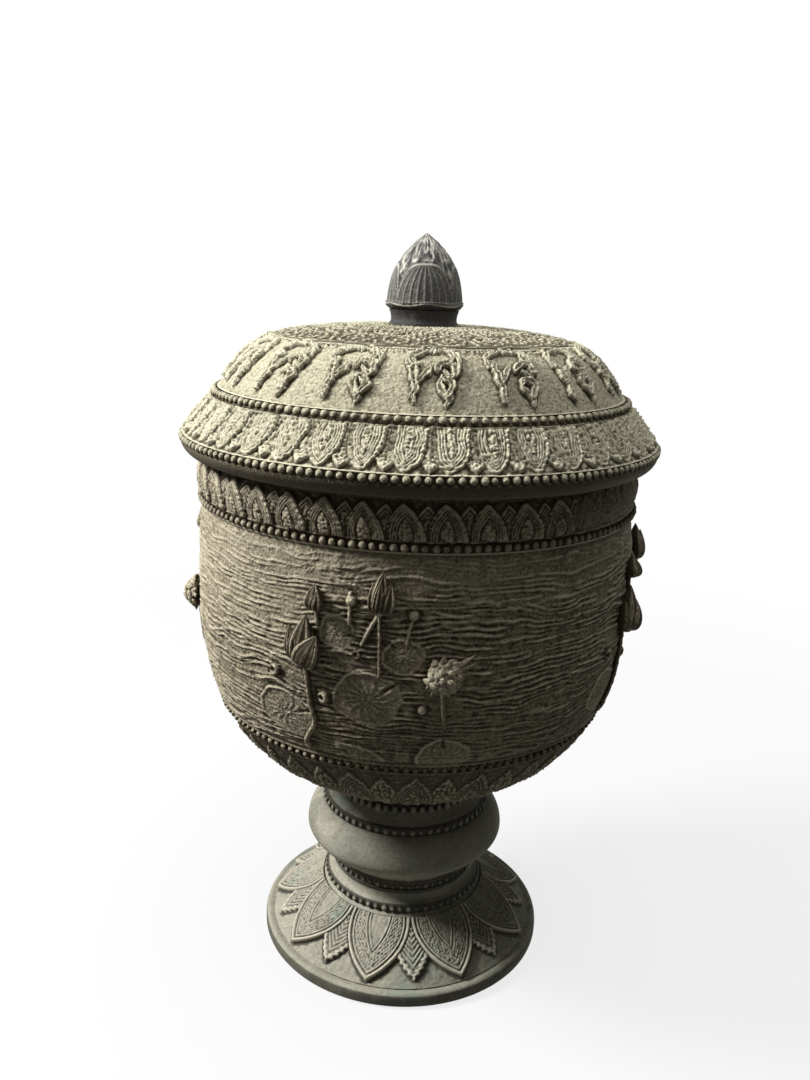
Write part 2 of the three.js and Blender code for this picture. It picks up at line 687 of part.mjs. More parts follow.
// The wall's radius, height and outward normal at a height above the bowl's base
function wallAt(height) {
  const curve = height < BELLY_HEIGHT ? UNDERSIDE : UPPER_WALL;
  let low = 0;
  let high = 1;
  while (high - low > WALL_STEP) {
    const middle = (low + high) / 2;
    if (curve.getPoint(middle).y - BOWL_BASE < height) low = middle;
    else high = middle;
  }
  const point = curve.getPoint(low);
  const along = curve.getTangent(low);
  return { radius: point.x, height: point.y, normal: at(along.y, -along.x) };
}

function laidOnWall(body, groupAngle) {
  const place = body.attributes.position;
  for (let i = 0; i < place.count; i += 1) {
    const wall = wallAt(place.getY(i));
    const radius = wall.radius + wall.normal.x * place.getZ(i);
    const height = wall.height + wall.normal.y * place.getZ(i);
    const angle = groupAngle + place.getX(i) / BELLY_RADIUS;
    place.setXYZ(i, radius * Math.sin(angle), -radius * Math.cos(angle), height);
  }
  return body;
}

// The finished pieces
const burner = new THREE.Group();

const FINISHES = {
  paleBronze: { color: 0x968f78, roughness: 0.55, metalness: 0.7 },
  brownBronze: { color: 0x6b5f4c, roughness: 0.5, metalness: 0.75 },
  greenBronze: { color: 0x6d6c5c, roughness: 0.45, metalness: 0.75 },
  darkBronze: { color: 0x35322c, roughness: 0.45, metalness: 0.7 },
  brass: { color: 0x9c8248, roughness: 0.35, metalness: 1 },
  steel: { color: 0x8a8a86, roughness: 0.4, metalness: 1 },
};

function place(name, body, finish) {
  const piece = new THREE.Mesh(body, new THREE.MeshStandardMaterial(FINISHES[finish]));
  piece.name = name;
  burner.add(piece);
}

place('foot', footBody(), 'greenBronze');
place('stem', stemBody(), 'greenBronze');
place('bowl', bowlBody(), 'brownBronze');
place('lid', lidBody(), 'paleBronze');
place('finial_collar', collarBody(), 'darkBronze');
place('finial_bud', budBody(), 'darkBronze');
place('ash_liner', linerBody(), 'brass');

// Tie rod with a flat nut in the bowl, and below it the plate that bears on the foot's ceiling
const plateTop = FOOT_CEILING - SEAT_GAP;
const plateBase = plateTop - PLATE_THICKNESS;
const plateRadius = coneInside(FOOT_CEILING) - PLATE_FIT;
const washerTop = plateBase - SEAT_GAP;
const washerBase = washerTop - WASHER_THICKNESS;
const footNutBase = washerBase - SEAT_GAP - NUT_HEIGHT;
const flatNutBase = BOWL_INSIDE + SEAT_GAP;
const flatNutTop = flatNutBase + FLAT_NUT_HEIGHT;

place('clamp_plate', ring(ROD_HOLE, plateRadius, plateBase, plateTop, STEM_SIDES), 'steel');
place('foot_washer', ring(ROD_HOLE, WASHER_RADIUS, washerBase, washerTop), 'steel');
place('foot_nut', hexNut(NUT_WIDTH, ROD_HOLE, footNutBase, NUT_HEIGHT), 'steel');
place('tie_rod', rod(ROD_RADIUS, footNutBase - ROD_END, flatNutTop), 'steel');
place('bowl_nut', ring(ROD_HOLE, FLAT_NUT_RADIUS, flatNutBase, flatNutTop), 'brass');

// Stud, washer and nut that hold the finial on the lid
const studWasherTop = LID_CEILING - SEAT_GAP;
const studWasherBase = studWasherTop - WASHER_THICKNESS;
const studNutBase = studWasherBase - SEAT_GAP - FINIAL_NUT_HEIGHT;
const studWasher = ring(STUD_HOLE, FINIAL_WASHER_RADIUS, studWasherBase, studWasherTop);

place('finial_stud', rod(STUD_RADIUS, studNutBase - STUD_END, BUD_BASE + STUD_REACH), 'brass');
place('finial_washer', studWasher, 'brass');
place('finial_nut', hexNut(FINIAL_NUT_WIDTH, STUD_HOLE, studNutBase, FINIAL_NUT_HEIGHT), 'brass');

for (const [group, degrees] of Object.entries(SPRIG_GROUPS)) {
  for (const [name, sprig] of Object.entries(SPRIGS)) {
    const body = sprigBody(sprig, THREE.MathUtils.degToRad(degrees));
    place(`${group}_${name}`, body, 'brownBronze');
  }
}

export default burner;
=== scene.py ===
"""Bronze incense burner, dressed as a Blender add-on.

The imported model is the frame. Each operator builds one casting, or one group of like
pieces, in the model's own place and in metres. Shapes are worked out in millimetres.
"""
import json
import math
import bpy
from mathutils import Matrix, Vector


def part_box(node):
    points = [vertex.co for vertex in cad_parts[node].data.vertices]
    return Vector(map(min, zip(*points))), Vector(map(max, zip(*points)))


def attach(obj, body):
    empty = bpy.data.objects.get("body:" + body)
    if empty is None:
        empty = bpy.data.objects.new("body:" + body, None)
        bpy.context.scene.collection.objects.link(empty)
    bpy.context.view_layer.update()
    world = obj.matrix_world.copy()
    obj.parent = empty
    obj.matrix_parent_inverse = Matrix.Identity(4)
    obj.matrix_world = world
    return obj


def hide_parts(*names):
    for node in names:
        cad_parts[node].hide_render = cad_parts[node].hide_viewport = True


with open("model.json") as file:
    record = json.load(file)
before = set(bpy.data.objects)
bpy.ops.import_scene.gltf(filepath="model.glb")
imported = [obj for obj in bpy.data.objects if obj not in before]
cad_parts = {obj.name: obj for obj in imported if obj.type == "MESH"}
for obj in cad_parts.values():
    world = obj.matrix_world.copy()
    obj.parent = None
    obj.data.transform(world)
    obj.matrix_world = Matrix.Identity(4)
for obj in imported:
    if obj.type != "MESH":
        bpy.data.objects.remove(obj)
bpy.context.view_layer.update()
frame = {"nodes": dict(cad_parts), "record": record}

from types import SimpleNamespace

import bmesh
import bpy
import numpy as np
from bpy.props import FloatProperty, FloatVectorProperty, IntProperty, PointerProperty
from mathutils import Matrix, Vector

bl_info = {
    "name": "Bronze Incense Burner",
    "version": (1, 0, 0),
    "blender": (4, 5, 0),
    "location": "View3D > Sidebar > Burner",
    "description": "Builds the cast ornament and patina of a lidded bronze incense burner",
    "category": "Object",
}

MM = 0.001
TURN = 2 * math.pi

# Heights where the castings meet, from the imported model
STEM_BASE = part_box("stem")[0].z / MM
STEM_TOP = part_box("stem")[1].z / MM
BOWL_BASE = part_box("bowl")[0].z / MM
BOWL_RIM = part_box("bowl")[1].z / MM
LID_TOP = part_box("lid")[1].z / MM
LID_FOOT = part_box("lid")[0].z / MM
COLLAR_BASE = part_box("finial_collar")[0].z / MM
BUD_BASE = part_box("finial_bud")[0].z / MM
BUD_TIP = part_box("finial_bud")[1].z / MM

# Sizes shared by the castings, in millimetres
BELLY_RADIUS = 102.8
LID_SEAT = LID_FOOT + 8.0
LID_WALL = 3.5
LINER_WALL = 1.5
BORE = 4.3

# A carved band: how far its carving starts under its line, how thick it is behind that, and the
# difference in height that counts as full wear, and as full dirt and painted shade in a hollow
GROUND = (1.2, 1.2)
CARVED_BACK = 1.0
WEAR_AND_SHADE_DEPTH = 0.45

# Sides of what is turned, and columns and rows of what is carved
CASTING_SIDES = 192
STEM_SIDES = 144
LINER_SIDES = 128
COLLAR_SIDES = 96
FOOT_GRID = (1152, 74)
CALYX_GRID = (960, 96)
POND_GRID = (960, 94)
BAND_GRID = (1440, 44)
SKIRT_GRID = (1760, 50)
PENDANT_GRID = (1320, 68)
CROWN_GRID = (900, 84)
BUD_GRID = (320, 128)

# Angle from which an edge shades as a corner, and bearing of the front spray
CREASE = math.radians(38)
FRONT = math.radians(-12)

# Distances in metres within which vertices are joined
WELD = 1e-7
SEAM_WELD = 1e-8


def length(name, description, default):
    """A length in metres, shown in the scene's own unit."""
    return FloatProperty(
        name=name, description=description, default=default, unit="LENGTH", precision=5
    )


def share(name, description, default):
    """A factor that is 1 on the real object."""
    return FloatProperty(
        name=name, description=description, default=default, subtype="FACTOR", min=0, max=2
    )


def count(name, description, default):
    """How many times an ornament comes round."""
    return IntProperty(name=name, description=description, default=default, min=3)


def colour(name, description, default):
    """A colour in linear light."""
    return FloatVectorProperty(
        name=name, description=description, default=default, subtype="COLOR", size=3, min=0, max=1
    )


class BurnerSizes(bpy.types.PropertyGroup):
    """Sizes and counts of the ornament"""

    bead: length("Bead radius", "Radius of the beads round lid and bowl", 0.00168)
    recess: length("Recess", "How far a casting lies back under its carved bands", 0.0019)
    carving: share("Carving", "Depth of the carving against the real one", 1.0)
    skirt_petals: count("Skirt petals", "Hanging petals round the lid's skirt", 40)
    pendants: count("Pendants", "Hanging ornaments on the lid's shoulder", 16)
    crown_scrolls: count("Crown scrolls", "Scrolls in each ring of the lid's crown", 20)
    band_petals: count("Band petals", "Upright petals under the bowl's rim", 40)
    calyx_petals: count("Calyx petals", "Petals under the bowl", 20)
    foot_petals: count("Foot petals", "Large petals on the foot", 9)
    wave_pitch: length("Wave pitch", "Distance between the water lines", 0.00205)


class BurnerColours(bpy.types.PropertyGroup):
    """Colours of the patina"""

    # Each hollow colour serves for dirt in the carving and for painted shade in hollows and shaded places
    pale_ground: colour("Lid ground", "Dry khaki patina of the lid", (0.405, 0.376, 0.264))
    pale_hollow: colour("Lid hollows", "Dirt in the lid's carving", (0.075, 0.062, 0.040))
    pale_rubbed: colour("Lid rubbed", "Rubbed high spots of the lid", (0.51, 0.482, 0.362))
    brown_ground: colour("Bowl ground", "Grey-brown patina of the bowl", (0.325, 0.283, 0.198))
    brown_hollow: colour("Bowl hollows", "Dirt in the bowl's carving", (0.037, 0.026, 0.015))
    brown_rubbed: colour("Bowl rubbed", "Rubbed high spots of the bowl", (0.54, 0.485, 0.36))
    green_ground: colour("Foot ground", "Olive patina of foot and stem", (0.31, 0.298, 0.234))
    green_hollow: colour("Foot hollows", "Dirt in the foot's carving", (0.045, 0.042, 0.032))
    green_rubbed: colour("Foot rubbed", "Rubbed high spots of the foot", (0.50, 0.462, 0.364))
    dark_ground: colour("Finial ground", "Near-black patina of the finial", (0.075, 0.072, 0.064))
    dark_hollow: colour("Finial hollows", "Grooves of the finial", (0.008, 0.0075, 0.007))
    dark_rubbed: colour("Finial rubbed", "Rubbed high spots of the finial", (0.40, 0.385, 0.33))
    verdigris: colour("Verdigris", "Green bloom in sheltered places", (0.24, 0.285, 0.235))
    soot: colour("Soot", "Inside of bowl and lid", (0.030, 0.026, 0.021))
    brass: colour("Brass", "Liner and fastenings", (0.42, 0.31, 0.13))
    steel: colour("Steel", "Clamp below the bowl", (0.33, 0.33, 0.32))
    floor: colour("Floor", "Pale floor", (0.11, 0.11, 0.108))


# Chance values for grain, drawn once and always alike
CHANCE_SIZE = 512
CHANCE = np.random.default_rng(11).random((4, CHANCE_SIZE, CHANCE_SIZE))


def eased(low, high, value):
    """0 at low, 1 at high and smooth between, where low may be the larger of the two."""
    part = np.clip((value - low) / (high - low), 0.0, 1.0)
    return part * part * (3.0 - 2.0 * part)


def bulge(distance, half_width):
    """Half-round section of a ridge."""
    return np.sqrt(np.clip(1.0 - (distance / half_width) ** 2, 0.0, None))


def bell(value, middle, width):
    """1 at the middle, falling away smoothly on both sides."""
    return math.exp(-(((value - middle) / width) ** 2))


def limited(value):
    """A value kept from -1 to 1, as wear and painted light are: -1 is full of dirt and painted shade, and 1
    is rubbed bright.
    """
    return max(-1.0, min(1.0, value))


def drift(x, y, period, layer=0):
    """Smooth chance values from 0 to 1 that come round again after a period of cells in x."""
    table = CHANCE[layer]
    column = np.floor(x).astype(int)
    row = np.floor(y).astype(int)
    part_x = eased(0.0, 1.0, x - column)
    part_y = eased(0.0, 1.0, y - row)
    left = column % period
    right = (column + 1) % period
    low = row % CHANCE_SIZE
    high = (row + 1) % CHANCE_SIZE
    under = table[low, left] * (1 - part_x) + table[low, right] * part_x
    over = table[high, left] * (1 - part_x) + table[high, right] * part_x
    return under * (1 - part_y) + over * part_y


# Grains keep off the edges of their cells, and are a little larger than half a cell
GRAIN_MARGIN = 0.2
GRAIN_FREEDOM = 0.6
GRAIN_RADIUS = 0.62


def pebbles(x, y, period):
    """Round grains scattered one to a cell: 1 on top of a grain and 0 between them."""
    nearest = np.full(np.shape(x), np.inf)
    column = np.floor(x).astype(int)
    row = np.floor(y).astype(int)
    for step_x in (-1, 0, 1):
        for step_y in (-1, 0, 1):
            cell_x = (column + step_x) % period
            cell_y = (row + step_y) % CHANCE_SIZE
            centre_x = column + step_x + GRAIN_MARGIN + GRAIN_FREEDOM * CHANCE[1][cell_y, cell_x]
            centre_y = row + step_y + GRAIN_MARGIN + GRAIN_FREEDOM * CHANCE[2][cell_y, cell_x]
            nearest = np.minimum(nearest, np.hypot(centre_x - x, centre_y - y))
    return np.clip(1.0 - (nearest / GRAIN_RADIUS) ** 2, 0.0, 1.0)


def drift_on(spot, cells, level, size, layer=0):
    """Smooth chance values on a band: cells round it, each of a size in millimetres along it."""
    return drift(spot.around * cells / TURN, level / size, cells, layer)


def grains_on(spot, cells, level, size):
    """Grains on a band: cells round it, each of a size in millimetres along it."""
    return pebbles(spot.around * cells / TURN, level / size, cells)


def stroke(x, y, points):
    """A modelled stroke through points of place and half-width: 1 along its spine."""
    height = np.zeros(np.shape(x))
    for (x0, y0, w0), (x1, y1, w1) in zip(points, points[1:]):
        run_x, run_y = x1 - x0, y1 - y0
        part = np.clip(((x - x0) * run_x + (y - y0) * run_y) / (run_x**2 + run_y**2), 0.0, 1.0)
        away = np.hypot(x - x0 - part * run_x, y - y0 - part * run_y)
        height = np.maximum(height, bulge(away, w0 + part * (w1 - w0)))
    return height


def softened(height, passes=10):
    """Heights smoothed over their neighbours, for telling high spots from hollows."""
    for _ in range(passes):
        height = (np.roll(height, 1, 1) + height + np.roll(height, -1, 1)) / 3
        edged = np.pad(height, ((1, 1), (0, 0)), mode="edge")
        height = (edged[:-2] + edged[1:-1] + edged[2:]) / 3
    return height


def folded(around, repeats, turn):
    """Place between repeats: 0 on the nearest one, and 1 or -1 midway to the next."""
    place = (around - turn) * repeats / TURN
    return 2 * (place - np.round(place))


def half_pitch(spot, repeats):
    """Half the distance between two repeats, in millimetres."""
    return TURN * spot.reach / repeats / 2


def petal_edge(lean, drop, half, run, width, tip, power):
    """Distance in millimetres inside the edge of a petal that narrows to a point at tip."""
    reach = np.clip(drop / tip, 0.0, 1.3)
    outline = width * (1 - reach**power)
    slope = width * power * reach ** (power - 1) / tip * half / run
    return (outline - np.abs(lean)) * half / np.hypot(1.0, slope)


def bend(start, leaving, arriving, end, steps=18):
    """Points of radius and height on a smooth bend."""
    points = []
    for i in range(steps + 1):
        t = i / steps
        weights = ((1 - t) ** 3, 3 * t * (1 - t) ** 2, 3 * t * t * (1 - t), t**3)
        corners = (start, leaving, arriving, end)
        points.append(tuple(sum(w * c[k] for w, c in zip(weights, corners)) for k in (0, 1)))
    return points


def moulding(start, end, rise, steps=8):
    """Points of a half-round between two ends, standing out by its rise."""
    run = (end[0] - start[0], end[1] - start[1])
    size = math.hypot(*run)
    points = []
    for i in range(steps + 1):
        t = i / steps
        out = rise * math.sin(math.pi * t)
        radius = start[0] + t * run[0] + out * run[1] / size
        height = start[1] + t * run[1] - out * run[0] / size
        points.append((radius, height))
    return points


def moved_out(line, distance):
    """A line of radius and height moved towards its outer side, by one distance or one a point."""
    points = np.array(line, float)
    along = np.gradient(points, axis=0)
    along /= np.hypot(along[:, 0], along[:, 1])[:, None]
    moved = points + np.stack([along[:, 1], -along[:, 0]], axis=1) * np.reshape(distance, (-1, 1))
    return [tuple(p) for p in moved]


def run_along(points):
    """Length of a line up to each of its points."""
    return np.concatenate([[0.0], np.cumsum(np.hypot(*np.diff(points, axis=0).T))])


def sampled(line, rows):
    """Even steps along a line: radius, height, outward normal and whole length."""
    points = np.array(line, float)
    run = run_along(points)
    even = np.linspace(0.0, run[-1], rows + 1)
    radius = np.interp(even, run, points[:, 0])
    height = np.interp(even, run, points[:, 1])
    along_r, along_z = np.gradient(radius), np.gradient(height)
    size = np.hypot(along_r, along_z)
    return radius, height, along_z / size, -along_r / size, run[-1]


def part_of(line, low, high):
    """The stretch of a rising line between two heights."""
    points = np.array(line, float)
    inner = [tuple(p) for p in points if low < p[1] < high]
    ends = [(float(np.interp(z, points[:, 1], points[:, 0])), z) for z in (low, high)]
    return [ends[0], *inner, ends[1]]


def around_axis(angle, radius, height):
    """A place in metres, at an angle that is 0 in front."""
    return Vector((radius * math.sin(angle), -radius * math.cos(angle), height)) * MM


# The bowl's outer wall, from its base to the bead row
SHOULDER = (101.2, BOWL_BASE + 143.0)
BELLY = (BELLY_RADIUS, BOWL_BASE + 101.4)
WALL_FOOT = (34.0, BOWL_BASE)
WALL = bend(WALL_FOOT, (80.0, BOWL_BASE + 16.4), (BELLY_RADIUS, BOWL_BASE + 39.4), BELLY, 60)
WALL += bend(BELLY, (BELLY_RADIUS, BOWL_BASE + 115.3), (102.27, BOWL_BASE + 129.1), SHOULDER, 24)[1:]
WALL_AT = sampled(WALL, 400)
RIM_BAND = moulding((101.2, BOWL_BASE + 146.8), (100.0, BOWL_BASE + 162.5), 1.7)


def turned(outline, steps, tones=()):
    """A closed outline of radius and height turned once round the axis.

    Each tone darkens or rubs what lies between two radii and two heights.
    """
    bm = bmesh.new()
    rim = [bm.verts.new((r * MM, 0.0, z * MM)) for r, z in outline]
    hoop = [bm.edges.new(pair) for pair in zip(rim, rim[1:] + rim[:1])]
    bmesh.ops.spin(
        bm, geom=rim + hoop, cent=(0, 0, 0), axis=(0, 0, 1), angle=TURN, steps=steps, use_merge=True
    )
    bmesh.ops.remove_doubles(bm, verts=bm.verts, dist=WELD)
    bmesh.ops.recalc_face_normals(bm, faces=bm.faces)
    for edge in bm.edges:
        edge.smooth = not edge.is_manifold or edge.calc_face_angle() < CREASE
    worn = bm.verts.layers.float.new("wear_and_painted_light")
    for vert in bm.verts:
        r = math.hypot(vert.co.x, vert.co.y) / MM
        z = vert.co.z / MM
        for (near, far), (low, high), tone in tones:
            if near <= r <= far and low <= z <= high:
                vert[worn] = tone
    return bm


def carved_ring(line, grid, carve, back_rows=1, ground=GROUND, rub=1.0, tone=(0.0, 0.0)):
    """A closed band, carved outside, wrapped once round the axis along a line.

    Ground is how far the carving starts under the line at its two ends, and tone what is added
    to the wear and painted light there. A carving adds its own shade where it needs one.
    """
    columns, rows = grid
    radius, height, out, up, run = sampled(line, rows)
    angles = np.arange(columns) * TURN / columns - math.pi
    around, along = np.meshgrid(angles, np.linspace(0.0, 1.0, rows + 1))
    reach = radius[:, None] + 0.0 * around
    level = height[:, None] + 0.0 * around
    spot = SimpleNamespace(around=around, along=along, reach=reach, level=level, run=run, shade=0.0)
    depth = np.linspace(*ground, rows + 1)
    carved = carve(spot) * bpy.context.scene.burner_sizes.carving
    shade = np.linspace(*tone, rows + 1)[:, None] + spot.shade
    # High spots go light as rubbed metal; hollows go dark as dirt and as painted shade
    wear_and_painted_light = np.clip(rub * (carved - softened(carved)) / WEAR_AND_SHADE_DEPTH + shade, -1.0, 1.0).tolist()
    rise = carved - depth[:, None]
    far = (reach + rise * out[:, None]) * MM
    x = (far * np.sin(around)).tolist()
    y = (-far * np.cos(around)).tolist()
    z = ((level + rise * up[:, None]) * MM).tolist()

    bm = bmesh.new()
    bmesh.ops.create_grid(bm, x_segments=columns, y_segments=rows, size=0.5)
    worn = bm.verts.layers.float.new("wear_and_painted_light")
    row_of = bm.verts.layers.int.new("row")
    seam = []
    for vert in bm.verts:
        i = round((vert.co.x + 0.5) * columns)
        j = round((vert.co.y + 0.5) * rows)
        if i in (0, columns):
            seam.append(vert)
        i %= columns
        vert[worn] = wear_and_painted_light[j][i]
        vert[row_of] = j
        vert.co = (x[j][i], y[j][i], z[j][i])
    bmesh.ops.remove_doubles(bm, verts=seam, dist=SEAM_WELD)
    open_edges = [edge for edge in bm.edges if edge.is_boundary]
    first, last = (
        [edge for edge in open_edges if all(vert[row_of] == end for vert in edge.verts)]
        for end in (0, rows)
    )
    for edge in first + last:
        edge.smooth = False
    loop = first
    for step in range(back_rows + 1):
        j = round(step * rows / back_rows)
        made = bmesh.ops.extrude_edge_only(bm, edges=loop)["geom"]
        loop = [g for g in made if isinstance(g, bmesh.types.BMEdge)]
        for vert in (g for g in made if isinstance(g, bmesh.types.BMVert)):
            angle = math.atan2(vert.co.x, -vert.co.y)
            back = depth[j] + CARVED_BACK
            vert.co = around_axis(angle, radius[j] - back * out[j], height[j] - back * up[j])
    loop = [edge for edge in loop if edge.is_boundary]
    bmesh.ops.bridge_loops(bm, edges=loop + last)
    bm.verts.layers.int.remove(row_of)
    bmesh.ops.recalc_face_normals(bm, faces=bm.faces)
    return bm


def finished(bm, name, body, slot, *materials, nodes=()):
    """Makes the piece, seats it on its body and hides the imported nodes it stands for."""
    for face in bm.faces:
        face.smooth = True
    mesh = bpy.data.meshes.new(name)
    bm.to_mesh(mesh)
    bm.free()
    for material in materials:
        mesh.materials.append(material)
    piece = bpy.data.objects.new(name, mesh)
    bpy.context.scene.collection.objects.link(piece)
    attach(piece, body)
    if nodes:
        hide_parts(*nodes)


# Soot on roof and floor: how far it reaches from the axis and how high in the bowl, in millimetres,
# and how far a face must look up or down to count as either
SOOT_REACH = 91.0
SOOT_TOP = BOWL_BASE + 60.0
LEVEL_FACE = 0.5


def sooted(bm):
    """Gives the inner wall of a hollow casting its second material."""
    for face in bm.faces:
        centre = face.calc_center_median()
        facing_in = centre.x * face.normal.x + centre.y * face.normal.y < 0
        within = math.hypot(centre.x, centre.y) < SOOT_REACH * MM
        under_roof = within and face.normal.z < -LEVEL_FACE and centre.z > LID_SEAT * MM
        in_bowl = BOWL_BASE * MM < centre.z < SOOT_TOP * MM
        over_floor = face.normal.z > LEVEL_FACE and in_bowl
        face.material_index = int(facing_in or under_roof or over_floor)


# Nodes of the materials


def put(tree, kind, inputs=(), **settings):
    """A node with its settings, and with each input set to a value or linked to a socket."""
    node = tree.nodes.new(kind)
    for key, value in settings.items():
        setattr(node, key, value)
    for key, value in dict(inputs).items():
        if isinstance(value, bpy.types.NodeSocket):
            tree.links.new(value, node.inputs[key])
        else:
            node.inputs[key].default_value = value
    return node


def blended(tree, factor, under, over):
    """A colour mixed from two by a factor."""
    return put(tree, "ShaderNodeMix", {0: factor, 6: under, 7: over}, data_type="RGBA").outputs[2]


def worked(tree, operation, first, second):
    """A sum, product or other result of two values."""
    return put(tree, "ShaderNodeMath", {0: first, 1: second}, operation=operation).outputs[0]


def scaled(tree, value, amount):
    """A value times an amount."""
    return worked(tree, "MULTIPLY", value, amount)


def stepped(tree, value, low, high):
    """0 below low, 1 above high, smooth between."""
    inputs = {"Value": value, "From Min": low, "From Max": high}
    return put(tree, "ShaderNodeMapRange", inputs, interpolation_type="SMOOTHSTEP").outputs[0]


# How strongly the finer clouds show in all noise
CLOUD_ROUGHNESS = 0.62


def clouds(tree, place, scale, detail):
    """Cloudy noise from 0 to 1."""
    inputs = {"Vector": place, "Scale": scale, "Detail": detail, "Roughness": CLOUD_ROUGHNESS}
    return put(tree, "ShaderNodeTexNoise", inputs).outputs["Fac"]


# Noise of the patina, as scale and detail: stains, speckles, grit and damp places, then pits
PATINA_CLOUDS = ((22.0, 4.0), (130.0, 5.0), (850.0, 3.0), (48.0, 6.0))
PIT_SCALE = 620.0

# How far each layer of the patina covers the one below, and how metallic a rubbed spot is
STAIN_COVER = 0.55
SPECKLE_COVER = 0.42
DIRT_AND_SHADE_COVER = 0.92
RUBBED_COVER = 0.8
RUBBED_METAL = 0.05

# Sockets of the patina's node group
PATINA_SOCKETS = (
    ("INPUT", "NodeSocketColor", ("Ground", "Hollow", "Rubbed", "Bloom")),
    ("INPUT", "NodeSocketFloat", ("Wear And Painted Light", "Bloom Amount", "Mottle", "Grit")),
    ("OUTPUT", "NodeSocketColor", ("Colour",)),
    ("OUTPUT", "NodeSocketFloat", ("Roughness", "Metallic", "Grain")),
)


def patina_group():
    """Cast bronze under patina: mottled ground, dirt and painted shade in hollows, rubbed high spots, green
    bloom.
    """
    tree = bpy.data.node_groups.get("Bronze Patina")
    if tree:
        return tree
    tree = bpy.data.node_groups.new("Bronze Patina", "ShaderNodeTree")
    for side, kind, names in PATINA_SOCKETS:
        for name in names:
            tree.interface.new_socket(name, in_out=side, socket_type=kind)
    given = put(tree, "NodeGroupInput").outputs
    place = put(tree, "ShaderNodeTexCoord").outputs["Object"]
    broad, middle, fine, damp = (clouds(tree, place, *grade) for grade in PATINA_CLOUDS)
    pits = put(tree, "ShaderNodeTexVoronoi", {"Vector": place, "Scale": PIT_SCALE}).outputs["Distance"]
    swing = worked(tree, "SUBTRACT", middle, 0.5)

    stain = scaled(tree, stepped(tree, broad, 0.42, 0.68), given["Mottle"])
    colour = blended(tree, scaled(tree, stain, STAIN_COVER), given["Ground"], given["Hollow"])
    speckle = scaled(tree, stepped(tree, middle, 0.5, 0.74), given["Mottle"])
    colour = blended(tree, scaled(tree, speckle, SPECKLE_COVER), colour, given["Rubbed"])
    dust = scaled(tree, stepped(tree, fine, 0.5, 0.62), given["Grit"])
    colour = blended(tree, dust, colour, given["Rubbed"])
    specks = stepped(tree, worked(tree, "SUBTRACT", 1.0, fine), 0.5, 0.62)
    colour = blended(tree, scaled(tree, specks, given["Grit"]), colour, given["Hollow"])
    bloom = scaled(tree, stepped(tree, damp, 0.56, 0.7), given["Bloom Amount"])
    colour = blended(tree, bloom, colour, given["Bloom"])
    uneven = worked(tree, "ADD", given["Wear And Painted Light"], scaled(tree, swing, 0.35))
    hollow = stepped(tree, scaled(tree, uneven, -1.0), 0.02, 0.55)
    colour = blended(tree, scaled(tree, hollow, DIRT_AND_SHADE_COVER), colour, given["Hollow"])
    rubbed = stepped(tree, uneven, 0.12, 0.75)
    colour = blended(tree, scaled(tree, rubbed, RUBBED_COVER), colour, given["Rubbed"])

    rough = worked(tree, "SUBTRACT", 0.7, scaled(tree, rubbed, 0.2))
    rough = worked(tree, "ADD", rough, scaled(tree, swing, 0.25))
    metal = scaled(tree, rubbed, RUBBED_METAL)
    grain = worked(tree, "ADD", scaled(tree, fine, 0.5), scaled(tree, middle, 0.6))
    grain = worked(tree, "ADD", grain, scaled(tree, stepped(tree, pits, 0.05, 0.4), 0.25))
    made = {"Colour": colour, "Roughness": rough, "Metallic": metal, "Grain": grain}
    put(tree, "NodeGroupOutput", made)
    return tree


def bare_material(name):
    """A new material that has no nodes yet."""
    material = bpy.data.materials.new(name)
    material.use_nodes = True
    material.node_tree.nodes.clear()
    return material


def skinned(tree, inputs):
    """Ends a material with its shader."""
    skin = put(tree, "ShaderNodeBsdfPrincipled", inputs)
    put(tree, "ShaderNodeOutputMaterial", {"Surface": skin.outputs["BSDF"]})


# Heights in metres that the bump of cast and turned metal stands for
CAST_BUMP = 0.0009
LATHE_BUMP = 0.0003


def bronze(name, finish, bloom, mottle, grit, grain, specular=0.08):
    """A bronze finish with its own colours, from the shared patina."""
    found = bpy.data.materials.get(name)
    if found:
        return found
    colours = bpy.context.scene.burner_colours
    material = bare_material(name)
    tree = material.node_tree
    given = {
        "Ground": (*getattr(colours, f"{finish}_ground"), 1.0),
        "Hollow": (*getattr(colours, f"{finish}_hollow"), 1.0),
        "Rubbed": (*getattr(colours, f"{finish}_rubbed"), 1.0),
        "Bloom": (*colours.verdigris, 1.0),
        "Bloom Amount": bloom,
        "Mottle": mottle,
        "Grit": grit,
        "Wear And Painted Light": put(tree, "ShaderNodeAttribute", attribute_name="wear_and_painted_light").outputs["Fac"],
    }
    patina = put(tree, "ShaderNodeGroup", given, node_tree=patina_group())
    relief = {"Strength": grain, "Distance": CAST_BUMP, "Height": patina.outputs["Grain"]}
    inputs = {
        "Base Color": patina.outputs["Colour"],
        "Roughness": patina.outputs["Roughness"],
        "Metallic": patina.outputs["Metallic"],
        "Normal": put(tree, "ShaderNodeBump", relief).outputs["Normal"],
        "Specular IOR Level": specular,
    }
    skinned(tree, inputs)
    return material


def lid_bronze():
    """Dry khaki patina."""
    return bronze("khaki_cast", "pale", bloom=0.08, mottle=0.7, grit=0.5, grain=1.0)


def bowl_bronze():
    """Grey-brown patina."""
    return bronze("umber_cast", "brown", bloom=0.12, mottle=0.9, grit=0.45, grain=0.9)


def foot_bronze():
    """Olive patina with green bloom."""
    return bronze("olive_cast", "green", bloom=0.65, mottle=0.9, grit=0.2, grain=0.35, specular=0.14)


def finial_bronze():
    """Near-black patina, handled smooth."""
    return bronze("black_cast", "dark", bloom=0.0, mottle=0.5, grit=0.25, grain=0.4, specular=0.4)


